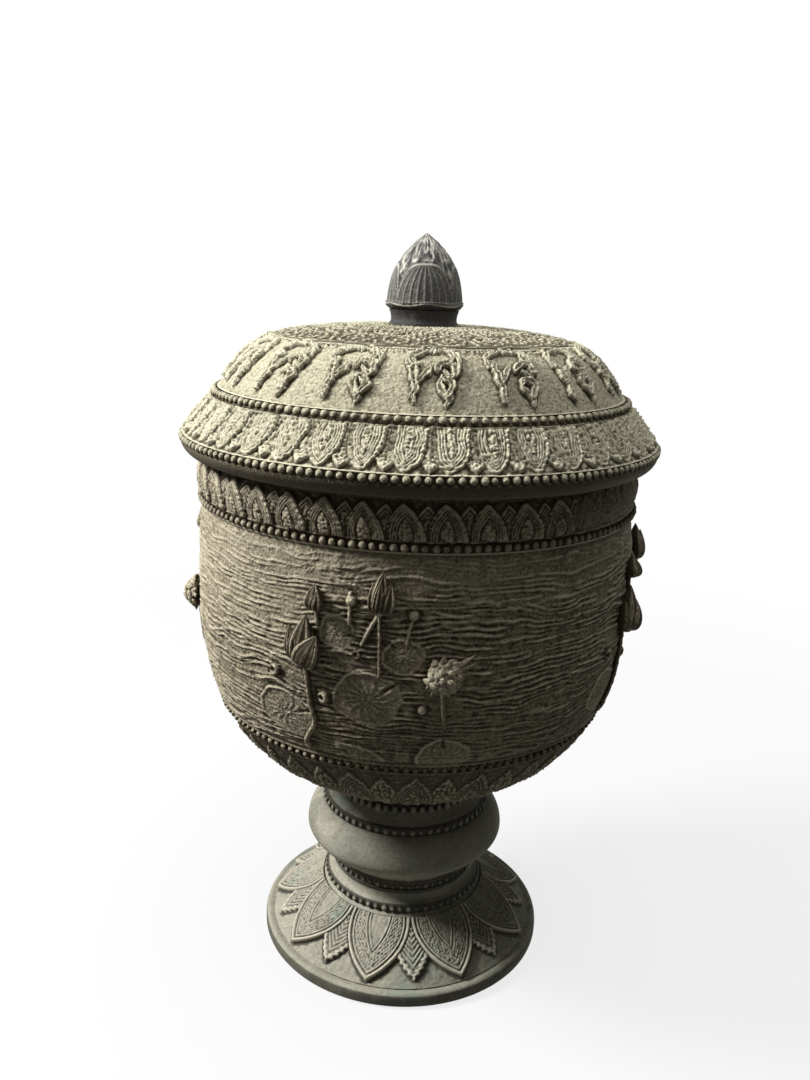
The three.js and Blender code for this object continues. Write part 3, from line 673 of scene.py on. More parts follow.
def plain_metal(name, tint, metallic, roughness, lines):
    """Turned metal with fine lathe lines and stains, or dull soot where it isn't metallic."""
    found = bpy.data.materials.get(name)
    if found:
        return found
    material = bare_material(name)
    tree = material.node_tree
    place = put(tree, "ShaderNodeTexCoord").outputs["Object"]
    stains = stepped(tree, clouds(tree, place, 60.0, 5.0), 0.4, 0.7)
    dull = tuple(0.45 * c for c in tint)
    tone = blended(tree, scaled(tree, stains, 0.6), (*tint, 1.0), (*dull, 1.0))
    rough = worked(tree, "ADD", scaled(tree, stains, 0.2), roughness)
    stretch = put(tree, "ShaderNodeMapping", {"Vector": place, "Scale": (0.05, 0.05, 1.0)}).outputs[0]
    streaks = clouds(tree, stretch, lines, 2.0)
    relief = {"Strength": 0.2, "Distance": LATHE_BUMP, "Height": streaks}
    bump = put(tree, "ShaderNodeBump", relief).outputs["Normal"]
    skinned(tree, {"Base Color": tone, "Roughness": rough, "Metallic": metallic, "Normal": bump})
    return material


def soot():
    """Dull black of the inside."""
    return plain_metal("soot", tuple(bpy.context.scene.burner_colours.soot), 0.0, 0.75, 900.0)


def brass():
    """Dull brass of the liner and some fastenings."""
    return plain_metal("dull_brass", tuple(bpy.context.scene.burner_colours.brass), 0.85, 0.38, 2200.0)


def steel():
    """Plain steel of the clamp."""
    return plain_metal("plain_steel", tuple(bpy.context.scene.burner_colours.steel), 0.9, 0.42, 1600.0)


# Carving of the bands, as rise in millimetres over the casting


def roped_petal(edge, along, rim, rise, lines, filling):
    """Section of a petal: roped rim, thin ridges at their distances inside it, then its filling."""
    rope = bulge(edge - rim / 2, rim / 2) * (0.7 + 0.3 * np.cos(TURN * along / 2.1))
    height = 0.5 * eased(-0.25, 0.45, edge) + rise * rope
    for line in lines:
        height = height + 0.7 * bulge(edge - line, 0.44)
    return height + filling * eased(lines[-1] + 0.4, lines[-1] + 1.3, edge)


def carve_skirt(spot):
    """Hanging petals that lean and curl, small ones between them, over pitted metal."""
    petals = bpy.context.scene.burner_sizes.skirt_petals
    drop = 1 - spot.along
    half = half_pitch(spot, petals)
    lean = folded(spot.around, petals, math.radians(-2))
    down = drop * spot.run
    grain = grains_on(spot, 400, down, 1.5)
    clump = grains_on(spot, 190, down, 3.2)
    filling = 0.75 * grain + 0.45 * clump
    # Large petals, raised along their right side
    sway = drift_on(spot, 160, down, 5, 2) - 0.5
    edge = petal_edge(lean + 0.1 * drop + 0.2 * sway, drop, half, spot.run, 0.93, 0.97, 4.2)
    rope = (0.45 + 0.6 * eased(-0.5, 0.7, lean)) * (0.7 + 0.5 * grain)
    main = roped_petal(edge, down, 1.8, rope, (2.5, 3.6, 4.7), filling)
    main = main + 0.85 * lean * eased(-0.2, 0.8, edge)
    # Small petals with a knob, between the large ones
    lean_small = 1 - np.abs(lean)
    edge_small = petal_edge(lean_small, drop, half, spot.run, 0.62, 0.95, 5.0)
    small = 0.35 * eased(-0.2, 0.4, edge_small) + 0.6 * bulge(edge_small - 0.7, 0.7)
    knob = bulge(np.hypot(lean_small * half, down - 0.84 * spot.run), 2.3)
    small = small + 0.6 * grain * eased(0.5, 1.4, edge_small) + 0.9 * knob
    height = np.where(edge > -0.15, main, np.maximum(small * eased(0.1, -0.4, edge), 0))
    # Thin edges above and below, and pits of the casting
    fillet = 0.8 * (bulge(down, 0.9) + bulge(spot.run - down, 0.9))
    pitted = 0.65 * drift_on(spot, 500, down, 1.3, 3)
    return np.maximum(height * eased(0.3, 1.2, down), fillet) + pitted


# Radius of the lid's shoulder where its pendants are spaced, and of the crown's outer edge
SHOULDER_REACH = 86.6
CROWN_REACH = 70.0

# One pendant of the lid's shoulder as strokes: rise, then places across and down with half-widths
PENDANT = (
    (1.7, ((0.2, 1.4, 0.9), (-3.5, 1.9, 1.3), (-7.0, 3.2, 1.5), (-10.0, 5.6, 1.5), (-11.2, 7.4, 0.7))),
    (1.5, ((0.2, 1.4, 0.9), (4.0, 1.5, 1.0), (7.2, 3.0, 1.1), (8.2, 6.0, 1.0), (7.0, 8.6, 0.8))),
    (1.7, ((8.4, 3.0, 0.8), (10.6, 6.2, 1.3), (11.0, 9.4, 0.6))),
    (1.6, ((-11.0, 8.2, 0.8), (-10.6, 11.2, 1.1), (-8.4, 12.0, 1.0), (-7.4, 9.8, 0.8), (-9.0, 8.8, 0.6))),
    (2.0, ((-8.8, 12.5, 1.5), (-8.6, 17.0, 1.5), (-7.6, 21.0, 1.2), (-8.8, 25.0, 1.1), (-8.2, 28.0, 0.5))),
    (1.7, ((-1.8, 12.0, 0.6), (-3.6, 15.0, 1.4), (-6.4, 18.2, 0.8))),
    (2.2, ((0.8, 13.4, 0.9), (2.6, 10.4, 1.3), (6.0, 9.8, 1.3), (9.2, 11.8, 1.7), (9.0, 15.6, 1.2))),
    (1.7, ((9.0, 15.6, 1.2), (6.4, 16.2, 0.8), (4.0, 13.4, 0.7))),
    (2.0, ((2.4, 17.0, 0.8), (1.6, 20.6, 1.2), (3.2, 24.2, 1.0), (5.2, 26.8, 1.2), (4.6, 29.6, 0.5))),
    (2.2, ((2.6, 17.2, 0.9), (6.6, 19.2, 1.5), (7.2, 21.2, 1.5), (4.6, 25.4, 1.0))),
    (1.6, ((0.0, 0.2, 1.2), (0.2, 2.4, 0.9))),
)


def carve_shoulder(spot):
    """Pendants on a plain ground, under a crust of grains at the upper edge."""
    pendants = bpy.context.scene.burner_sizes.pendants
    down = (1 - spot.along) * spot.run
    sway = drift_on(spot, 70, down, 9) - 0.5
    sag = drift_on(spot, 90, down, 7, 2) - 0.5
    nick_x = drift_on(spot, 300, down, 1.9, 1) - 0.5
    nick_y = drift_on(spot, 300, down, 1.9, 2) - 0.5
    pitch = math.pi * SHOULDER_REACH / pendants
    across = pitch * folded(spot.around, pendants, math.radians(3.6)) + 1.6 * sway + 1.2 * nick_x
    drop = down + 1.8 * sag + 1.2 * nick_y
    # Each stroke is a ribbon with a groove along it
    figure = np.zeros(np.shape(across))
    for rise, points in PENDANT:
        spine = stroke(across, drop, [(x, y, 1.2 * half) for x, y, half in points])
        ribbon = np.minimum(1.5 * spine, 1.0) - 0.5 * eased(0.88, 1.0, spine)
        figure = np.maximum(figure, 1.05 * rise * ribbon)
    grain = grains_on(spot, 330, down, 1.5)
    figure = figure * (0.78 + 0.3 * grain)
    # The crust, thin edges above and below, and the uneven ground
    crust = 1.1 * grain * eased(3.4, 1.6, down - 1.2 * sway)
    fillet = 0.8 * (bulge(down, 0.9) + bulge(spot.run - down, 0.9))
    grit = drift_on(spot, 420, down, 1.2, 3)
    cast = 0.3 * grit + 0.3 * drift_on(spot, 30, down, 18, 1)
    return np.maximum.reduce([figure, crust, fillet]) + cast


def carve_crown(spot):
    """Rings of leafy scrolls that shrink towards the finial, turned left and right in turn."""
    scrolls = bpy.context.scene.burner_sizes.crown_scrolls
    inward = spot.along * spot.run
    sway = drift_on(spot, 60, inward, 6) - 0.5
    # Place in the ring and in the scroll, where each scroll is as high as it is wide
    ring_place = np.log(CROWN_REACH / spot.reach) * scrolls / TURN
    ring = np.floor(ring_place)
    place = spot.around * scrolls / TURN + 0.5 * ring
    column = np.floor(place)
    across = place - column - 0.5
    rise = ring_place - ring - 0.5
    hand = 1 - 2 * (column % 2)
    # Coils with grains on and between them
    coil = np.hypot(across, rise) / 0.2 - hand * np.arctan2(rise, across) / TURN + 0.5 * sway
    leaf = bulge(coil - np.round(coil), 0.36) * eased(0.62, 0.5, np.hypot(across, rise))
    grain = pebbles(place * 8, ring_place * 8, 8 * scrolls)
    height = np.maximum(1.7 * leaf * (0.5 + 0.5 * grain), 1.1 * grain)
    plain = eased(0.5, 2.2, inward) * eased(0.2, 3.0, spot.run - inward)
    return np.maximum(height * plain, bulge(inward - 0.9, 0.9))


def carve_band(spot):
    """Upright petals with pointed tips, worn flat on the right."""
    petals = bpy.context.scene.burner_sizes.band_petals
    rise = spot.along * spot.run
    half = half_pitch(spot, petals)
    lean = folded(spot.around, petals, math.radians(-2))
    grain = grains_on(spot, 400, rise, 1.6)
    boss = bulge(np.hypot(lean * half, (rise - 5.0) * 0.6), 3.0)
    filling = 0.45 * grain + 0.7 * boss
    # Large petals, whose tips stand out
    sway = drift_on(spot, 160, rise, 5, 2) - 0.5
    bent = lean + 0.14 * spot.along + 0.1 * sway
    edge = petal_edge(bent, spot.along, half, spot.run, 1.0, 0.99, 2.6)
    tip = eased(0.3, 1.0, spot.along)
    rope = 0.3 + 0.4 * grain
    main = roped_petal(edge, rise, 1.3, rope, (1.8, 2.9, 4.0), filling)
    main = main + (1.2 * tip + 0.7 * lean) * eased(-0.3, 0.6, edge)
    # Small petals between the large ones
    lean_small = 1 - np.abs(lean)
    edge_small = petal_edge(lean_small, spot.along, half, spot.run, 0.8, 0.95, 2.6)
    small = 0.35 * eased(-0.2, 0.4, edge_small) + 0.6 * bulge(edge_small - 0.6, 0.6)
    small = small + 0.5 * bulge(edge_small - 2.0, 0.45) + 0.45 * grain * eased(2.4, 3.0, edge_small)
    height = np.where(edge > -0.15, main, small * eased(0.1, -0.4, edge))
    # Worn stretch, lower edge and pits of the casting
    angle = np.degrees(spot.around)
    worn = 1 - 0.75 * eased(30, 46, angle) * eased(86, 74, angle)
    fillet = 0.7 * bulge(rise, 0.9)
    pitted = 0.35 * drift_on(spot, 400, rise, 1.6, 3)
    return np.maximum(height * worn * eased(0.2, 1.0, rise), fillet) + pitted


def carve_calyx(spot):
    """Broad petals filled with grains, which rise out of the bowl's foot."""
    petals = bpy.context.scene.burner_sizes.calyx_petals
    rise = spot.along * spot.run
    half = half_pitch(spot, petals)
    lean = folded(spot.around, petals, math.radians(2.5))
    grain = grains_on(spot, 240, rise, 2.0)
    clump = grains_on(spot, 120, rise, 3.8)
    filling = 0.8 * grain + 0.5 * clump
    # Large petals
    sway = drift_on(spot, 90, rise, 6, 2) - 0.5
    edge = petal_edge(lean + 0.16 * sway, spot.along, half, spot.run, 0.97, 0.97, 3.4)
    main = roped_petal(edge, rise, 2.2, 0.5 + 0.7 * grain, (3.2, 4.6), filling)
    # Small petals between the large ones
    lean_small = 1 - np.abs(lean)
    edge_small = petal_edge(lean_small, spot.along, half, spot.run, 0.75, 0.95, 4.0)
    small = 0.4 * eased(-0.2, 0.4, edge_small) + (0.3 + 0.7 * grain) * bulge(edge_small - 0.9, 0.9)
    small = small + (0.7 * grain + 0.5 * clump) * eased(1.6, 2.4, edge_small)
    between = 0.5 * grain + small * eased(0.1, -0.5, edge)
    height = np.where(edge > -0.15, main, between)
    fillet = 0.9 * bulge(spot.run - rise, 1.0)
    return np.maximum(height * eased(-3.0, 16.0, rise), fillet)


def carve_foot(spot):
    """Large petals with an arch and a hatched ground, and toothed ones between them."""
    petals = bpy.context.scene.burner_sizes.foot_petals
    drop = 1 - spot.along
    down = drop * spot.run
    half = half_pitch(spot, petals)
    lean = folded(spot.around, petals, math.radians(-13))
    across = lean * half
    hatch = 0.5 + 0.5 * np.cos(TURN * (np.abs(across) * 0.9 + down * 0.75) / 1.55)
    grain = grains_on(spot, 260, down, 1.5)
    # Large petals with two rims, and an arch of two lines inside
    edge = petal_edge(lean, drop, half, spot.run, 0.99, 0.955, 1.85)
    rope = bulge(edge - 0.9, 0.9)
    inner = bulge(edge - 2.9, 0.55)
    arch = petal_edge(lean, drop, half, spot.run, 0.45, 0.62, 1.6)
    arch_lines = bulge(arch - 0.4, 0.5) + 0.8 * bulge(arch - 1.9, 0.45)
    filling = (0.35 * hatch + 0.4 * grain) * eased(3.4, 4.2, edge) * eased(0.2, -0.5, arch)
    lifted = 0.7 + 1.1 * eased(0.2, 1.0, drop)
    main = lifted * eased(-0.35, 0.35, edge) + 0.95 * rope + 0.7 * inner + filling
    main = main + 0.6 * arch_lines * eased(3.4, 4.2, edge)
    # Small petals with notched edges and chevrons, between the large ones
    lean_small = 1 - np.abs(lean)
    edge_small = petal_edge(lean_small, drop, half, spot.run, 0.56, 0.90, 2.6)
    teeth = np.cos(TURN * down / 2.5)
    notch = (0.5 + 0.5 * teeth) * eased(0.5, 0.62, drop)
    edge_small = edge_small - 0.8 * notch
    serration = 0.75 + 0.25 * teeth
    small = lifted * eased(-0.3, 0.3, edge_small) + 0.8 * bulge(edge_small - 1.1, 1.1) * serration
    chevron = 0.5 + 0.5 * np.cos(TURN * (lean_small * half + down * 0.8) / 2.3)
    small = small + 0.55 * chevron * eased(2.3, 3.0, edge_small)
    height = np.where(edge > -0.2, main, small * eased(0.1, -0.4, edge))
    return height + 0.3 * drift_on(spot, 220, down, 1.8, 3)


# The pond's lower edge and the level where its two bands meet, over the bowl's base
POND_FOOT = 49.6
POND_MIDDLE = 94.0

# What one spray has in low relief, by its place across from the spray's middle and up from the
# bowl's base: pads with half-widths and turn, knobs with radius and share of their hole, and
# stalks as points with half-widths
PADS = (
    (-8.5, 108.9, 7.6, 7.4, 0.0),
    (-33.0, 68.4, 15.0, 10.6, -0.12),
    (4.8, 81.7, 14.3, 12.0, 0.05),
    (18.8, 101.2, 8.6, 7.6, 0.2),
    (37.1, 55.2, 12.0, 9.4, 0.1),
    (1.5, 53.9, 12.5, 4.6, -0.32),
)
KNOBS = (
    (-37.0, 87.4, 2.9, 0.5),
    (-12.9, 80.4, 3.2, 0.35),
    (27.2, 78.9, 2.4, 0.0),
    (-0.1, 100.8, 2.2, 0.5),
    (-23.9, 55.4, 2.4, 0.0),
    (21.8, 118.4, 2.4, 0.0),
    (-2.8, 122.6, 2.7, 0.0),
)
STALKS = (
    ((-3.2, 125.4, 1.0), (-3.0, 122.0, 2.4), (-3.2, 119.4, 0.9), (-3.3, 113.0, 0.8)),
    ((8.6, 117.6, 1.1), (5.0, 111.2, 1.1), (1.8, 104.8, 0.8)),
    ((21.8, 118.0, 0.9), (20.6, 112.0, 0.9), (20.0, 107.0, 0.8)),
)

# What each of them adds to the wear and painted light: the stalks are darkened as painted shade
PAD_SHADE = 0.27
STALK_SHADE = -0.6
KNOB_SHADE = -0.7
HOLE_SHADE = -1.1


def lily_pad(across, level, pad):
    """Mask and rise of one pad: wavy rim, veins from its middle and a slit."""
    x, y, wide, tall, turn = pad
    shift_x, shift_y = across - x, level - y
    local_x = (shift_x * math.cos(turn) + shift_y * math.sin(turn)) / wide
    local_y = (shift_y * math.cos(turn) - shift_x * math.sin(turn)) / tall
    bearing = np.arctan2(local_y, local_x)
    away = np.hypot(local_x, local_y)
    wavy = 1 + 0.045 * np.cos(4 * bearing + x) + 0.02 * np.cos(9 * bearing + 2 * y)
    edge = (wavy - away) * min(wide, tall)
    slit = np.abs(np.angle(np.exp(1j * (bearing - 2.1 - x)))) * away * tall
    cut = 0.7 * bulge(slit, 0.7) * eased(0.45, 0.6, away)
    veins = np.clip(np.cos(15 * bearing + 2 * np.sin(5 * away)) - 0.4, 0, 1) / 0.6
    mask = eased(-0.3, 0.3, edge)
    rim = (0.38 + 0.3 * np.cos(bearing - 2.4)) * bulge(edge - 0.55, 0.6)
    rise = 0.5 + rim - cut + 0.6 * veins * eased(0.95, 0.2, away) * eased(0.8, 1.8, edge)
    return mask, rise


def water_lines(spot, level, pitch, layer):
    """Long wavering ridges: 1 along a crest, 0 between two, each fading out here and there."""
    swell = drift_on(spot, 20, level, 17, layer)
    waver = drift_on(spot, 56, level, 7, layer + 1)
    twitch = drift_on(spot, 110, level, 4.4, layer)
    phase = level / pitch + 2.8 * swell + 1.1 * waver + 0.45 * twitch
    ridge = np.round(phase)
    crest = (1 - 2 * np.abs(phase - ridge)) ** 2.2
    along = drift(spot.around * 48 / TURN, 1.7 * ridge, 48, layer + 1)
    return crest * (0.12 + 0.88 * eased(0.15, 0.75, along))


def carve_pond(spot):
    """Water lines that run calm towards the rim, with pads, stalks and knobs of four sprays."""
    pitch = bpy.context.scene.burner_sizes.wave_pitch / MM
    level = spot.level - BOWL_BASE
    ripple = drift_on(spot, 190, level, 3.6, 1)
    fork = eased(0.45, 0.65, drift_on(spot, 24, level, 11, 1))
    forked = fork * water_lines(spot, level, 1.3 * pitch, 2)
    lines = np.maximum(water_lines(spot, level, pitch, 0), forked)
    calm = 0.25 + 0.75 * eased(2.0, 22.0, SHOULDER[1] - spot.level + 6 * ripple)
    grit = drift(spot.around * 620 / TURN, level, CHANCE_SIZE, 3)
    height = 1.1 * calm * lines + 0.35 * ripple + 0.25 * grit
    # Place in the nearest spray, a little astray
    across = folded(spot.around, len(GROUPS), FRONT) * math.pi / len(GROUPS) * BELLY_RADIUS
    across = across + 1.2 * (drift_on(spot, 60, level, 11, 2) - 0.5)
    grain = grains_on(spot, 300, level, 2.1)
    shade = np.zeros(np.shape(level))
    for pad in PADS:
        mask, rise = lily_pad(across, level, pad)
        height = height * (1 - mask) + (rise + 0.2 * grain) * mask
        shade = np.maximum(shade, PAD_SHADE * mask)
    for points in STALKS:
        line = stroke(across, level, points)
        height = np.maximum(height, 1.9 * line)
        shade = np.where(line > 0, STALK_SHADE, shade)
    for x, y, size, hole in KNOBS:
        away = np.hypot(across - x, level - y)
        knob = size * bulge(away, size)
        if hole:
            beside = np.hypot(across - x + 0.2 * size, level - y)
            knob = knob - 1.3 * size * bulge(beside, hole * size)
        height = np.maximum(height, np.where(away < size, np.maximum(knob, 0.4), 0))
        shade = np.where(away < size, HOLE_SHADE if hole else KNOB_SHADE, shade)
    spot.shade = shade
    # Thin edges above and below
    top = SHOULDER[1] - spot.level
    low = spot.level - BOWL_BASE - POND_FOOT
    fillet = 0.75 * (bulge(top, 1.0) + bulge(low, 1.0))
    fade = eased(0.6, 3.0, top) * eased(0.6, 3.0, low)
    return np.maximum(height * fade, fillet) + 0.1 * ripple


# Lotus sprigs: pieces laid flat as across, rise and out in millimetres, then set on the wall


def petal(bm, foot, lean, size, out, curl=0.0, veins=3.0, sides=28, tone=-0.78):
    """A pointed, veined petal drawn out of a sphere; size is its length, width and depth."""
    worn = bm.verts.layers.float["wear_and_painted_light"]
    long, wide, deep = size
    made = bmesh.ops.create_uvsphere(bm, u_segments=sides, v_segments=sides // 2 + 2, radius=1.0)
    for vert in made["verts"]:
        x, y, z = vert.co
        along = (z + 1) / 2
        girth = math.hypot(x, y)
        side, front = (x / girth, y / girth) if girth > 1e-6 else (0.0, 0.0)
        swell = 2.6 * math.sqrt(max(along, 0.0)) * (1 - along)
        groove = 0.14 * math.cos(math.pi * veins * side) * max(front, 0.0)
        rim = bell(abs(side), 0.8, 0.14) * (front > 0)
        vert[worn] = limited(0.3 * front + tone + 0.95 * rim + 1.8 * groove)
        across = side * wide / 2 * swell
        proud = (front * (1 + groove) + 0.34 * rim) * deep / 2 * swell
        up = long * along
        vert.co = (
            foot[0] + across * math.cos(lean) + up * math.sin(lean),
            foot[1] - across * math.sin(lean) + up * math.cos(lean),
            proud + out + curl * along * along,
        )


def lump(bm, place, size, out):
    """A small rounded seed or knob."""
    worn = bm.verts.layers.float["wear_and_painted_light"]
    made = bmesh.ops.create_uvsphere(bm, u_segments=12, v_segments=8, radius=1.0)
    for vert in made["verts"]:
        x, y, z = vert.co
        vert[worn] = limited(1.4 * z - 0.5)
        vert.co = (place[0] + x * size[0], place[1] + y * size[1], out + z * size[2])


# Fewest steps of a stem, and the length of one in millimetres
STALK_STEPS = 6
STALK_STEP = 1.3


def stalk(bm, points, radius, sides=10):
    """A round stem through points on the wall, closed at both ends."""
    worn = bm.verts.layers.float["wear_and_painted_light"]
    line = np.array(points, float)
    run = run_along(line)
    even = np.linspace(0, run[-1], max(STALK_STEPS, int(run[-1] / STALK_STEP)))
    smooth = np.stack([np.interp(even, run, line[:, k]) for k in (0, 1)], axis=1)
    for _ in range(4):
        smooth[1:-1] = (smooth[:-2] + smooth[1:-1] + smooth[2:]) / 3
    heading = np.gradient(smooth, axis=0)
    heading /= np.hypot(heading[:, 0], heading[:, 1])[:, None]
    verts = bmesh.ops.create_circle(bm, cap_ends=True, segments=sides, radius=1.0)["verts"]
    angles = {vert: math.atan2(vert.co.y, vert.co.x) for vert in verts}
    loop = list(dict.fromkeys(edge for vert in verts for edge in vert.link_edges))
    for step, ((x, y), (along_x, along_y)) in enumerate(zip(smooth, heading)):
        if step:
            made = bmesh.ops.extrude_edge_only(bm, edges=loop)["geom"]
            fresh = [g for g in made if isinstance(g, bmesh.types.BMVert)]
            loop = [g for g in made if isinstance(g, bmesh.types.BMEdge) and g.is_boundary]
            carried = {}
            for vert in fresh:
                beside = (edge.other_vert(vert) for edge in vert.link_edges)
                carried[vert] = angles[next(near for near in beside if near in angles)]
            angles = carried
        thick = radius * (1 + 0.16 * math.sin(2.1 * step) * math.sin(0.37 * step))
        for vert, angle in angles.items():
            side = thick * math.cos(angle)
            vert.co = (x + side * along_y, y - side * along_x, thick * math.sin(angle) + 0.35 * radius)
            # Lighter along the stem's outer crest and dark on its flanks: painted shade on the stem
            vert[worn] = 0.8 * math.sin(angle) - 0.6
    bmesh.ops.contextual_create(bm, geom=loop)


def blank():
    """An empty shape that can hold wear and painted light."""
    bm = bmesh.new()
    bm.verts.layers.float.new("wear_and_painted_light")
    return bm


def set_on_wall(bm, group):
    """Carries flat pieces on to the bowl's curved wall at the group's bearing."""
    radius, height, out, up, _ = WALL_AT
    for vert in bm.verts:
        across, rise, proud = vert.co
        level = BOWL_BASE + rise
        r, nr, nz = (float(np.interp(level, height, values)) for values in (radius, out, up))
        vert.co = around_axis(group + across / BELLY_RADIUS, r + proud * nr, level + proud * nz)
    bmesh.ops.recalc_face_normals(bm, faces=bm.faces)


def large_bud(bm):
    """A swelling bud on a bent stem, its sepals folded to the left."""
    petal(bm, (-22.4, 95.4), 0.12, (20.0, 9.6, 8.0), 1.8, 0.6, 3.0)
    petal(bm, (-20.0, 95.2), 0.14, (14.4, 8.8, 8.0), 1.2, 0.4, 2.0)
    petal(bm, (-20.8, 94.2), 0.42, (15.0, 11.0, 8.0), 4.0, 0.0, 5.0, 28, -0.85)
    petal(bm, (-25.0, 95.8), 0.06, (14.8, 4.4, 6.0), 3.0, 0.2, 2.0)
    petal(bm, (-26.8, 96.4), -0.06, (13.6, 3.6, 5.0), 2.0, 0.2, 2.0)
    lump(bm, (-21.8, 96.2), (3.4, 2.6, 3.2), 2.4)
    route = ((-21.8, 96.5), (-20.2, 86.0), (-19.6, 76.5), (-17.3, 67.5), (-22.6, 60.0), (-23.9, 56.0))
    stalk(bm, route, 1.2)


def small_bud(bm):
    """A closed bud on a short stem."""
    petal(bm, (-16.9, 117.5), 0.0, (10.5, 7.6, 7.0), 1.6, 0.0, 3.0)
    petal(bm, (-15.6, 117.6), 0.08, (8.0, 5.0, 5.4), 3.2, 0.0, 2.0)
    stalk(bm, ((-16.8, 118.6), (-16.4, 114.5), (-15.8, 110.5)), 1.0)


def tall_bud(bm):
    """A slender bud on a straight stem."""
    petal(bm, (8.6, 119.6), 0.1, (16.6, 6.6, 7.0), 1.4, 0.4, 3.0)
    petal(bm, (11.0, 119.2), 0.2, (12.4, 7.2, 7.0), 2.4, 0.2, 3.0)
    petal(bm, (7.0, 119.6), -0.02, (12.0, 4.4, 5.0), 2.2, 0.2, 2.0)
    petal(bm, (8.2, 119.4), 0.12, (14.0, 3.6, 5.0), 3.8, 0.2, 2.0)
    lump(bm, (9.2, 119.8), (2.4, 1.8, 2.4), 1.8)
    stalk(bm, ((9.0, 119.0), (9.4, 111.0), (9.6, 102.0), (9.8, 92.0)), 0.8)


# The open flower: its place, its rings of florets as number and distance, then the lean and length
# of the petals below it and of those blown to one side
FLOWER = (34.8, 94.8)
FLORETS = ((5, 0.6), (9, 2.2), (13, 4.0), (15, 5.4))
LOW_PETALS = ((-2.6, 9.6), (-2.2, 8.8), (2.9, 9.4))
BLOWN_PETALS = ((0.95, 15.0), (1.2, 13.4), (1.5, 11.0))


def open_flower(bm):
    """A shaggy ball of florets with a few long petals blown to one side."""
    lump(bm, FLOWER, (6.4, 6.2, 4.8), 1.8)
    for row, (number, far) in enumerate(FLORETS):
        for i in range(number):
            chance = CHANCE[2][row, i]
            other = CHANCE[3][row, i]
            turn = TURN * (i + 0.7 * chance) / number
            place = (FLOWER[0] + far * math.cos(turn), FLOWER[1] + far * math.sin(turn))
            size = (2.6 + 2.4 * other, 2.2 + 1.2 * chance, 2.6)
            lean = TURN / 4 - turn + 0.9 + 1.6 * (other - 0.5)
            out = 5.6 - 0.12 * far**2 + 1.2 * chance
            petal(bm, place, lean, size, out, -0.9, 1.0, 12, 0.5 * chance - 0.45)
    for lean, long in LOW_PETALS:
        petal(bm, FLOWER, lean, (long, 4.4, 4.0), 1.8, 0.8, 2.0, 16, -0.2)
    for lean, long in BLOWN_PETALS:
        petal(bm, FLOWER, lean, (long, 2.6, 3.0), 1.4, 0.6, 1.0, 16, -0.1)
    stalk(bm, ((34.6, 90.0), (35.2, 79.0), (36.4, 71.0)), 1.0)


# Sprigs of a spray, and the sprays with their quarter turns
SPRIGS = {
    "large_bud": large_bud,
    "small_bud": small_bud,
    "tall_bud": tall_bud,
    "open_flower": open_flower,
}
GROUPS = {"front": 0, "right": 1, "back": 2, "left": 3}


def bead_row(bm, radius, height, out, number, size, tall, tone):
    """A ring of cast beads, each a little unlike its neighbours."""
    worn = bm.verts.layers.float["wear_and_painted_light"]
    bead = bpy.context.scene.burner_sizes.bead / MM
    up = math.sqrt(1 - out * out)
    for i in range(number):
        chance = CHANCE[3][number % CHANCE_SIZE, i % CHANCE_SIZE]
        grown = size * bead * (0.9 + 0.2 * chance)
        angle = TURN * (i + 0.12 * (chance - 0.5)) / number
        verts = bmesh.ops.create_uvsphere(bm, u_segments=8, v_segments=6, radius=1.0)["verts"]
        for vert in verts:
            # Lighter where a bead faces out and up, darker underneath: partly rubbed tops, partly painted
            # light and shade
            facing = -vert.co.y * out + vert.co.z * up
            vert[worn] = limited(1.5 * facing + tone + 0.4 * chance)
        seat = Matrix.Translation(around_axis(angle, radius, height))
        scale = Matrix.Diagonal((grown * MM, grown * MM, grown * tall * MM, 1.0))
        bmesh.ops.transform(bm, matrix=seat @ Matrix.Rotation(angle, 4, "Z") @ scale, verts=verts)


class BURNER_OT_foot(bpy.types.Operator):
    """Foot with its rounded rim and its large and small petals"""

    bl_idname = "burner.foot"
    bl_label = "Foot"

    def execute(self, context):
        cone = [(67.5, 7.0), (41.5, 26.4)]
        rim = bend((72.0, 3.8), (72.0, 6.0), (71.2, 7.0), (69.6, 7.0), 8)
        edge = bend((70.2, 0.0), (71.4, 0.0), (72.0, 0.6), (72.0, 1.8), 6)
        top = [(41.2, 26.9), (39.9, 28.0), (28.0, 28.0)]
        inside = [(28.0, 23.5), (38.0, 23.5), (61.5, 5.6), (63.0, 3.0), (63.0, 0.0)]
        outline = edge + rim + [(68.2, 6.6)] + moved_out(cone, -0.7) + top + inside
        dark_edge = ((70.8, 73.0), (0.0, 6.0), -0.4)
        bm = turned(outline, CASTING_SIDES, [dark_edge])
        finished(bm, "foot_casting", "base", "green_bronze", foot_bronze(), nodes=["foot"])
        bm = carved_ring(cone, FOOT_GRID, carve_foot, ground=(0.0, 0.0), rub=0.8)
        finished(bm, "foot_petals", "base", "green_bronze", foot_bronze())
        return {"FINISHED"}


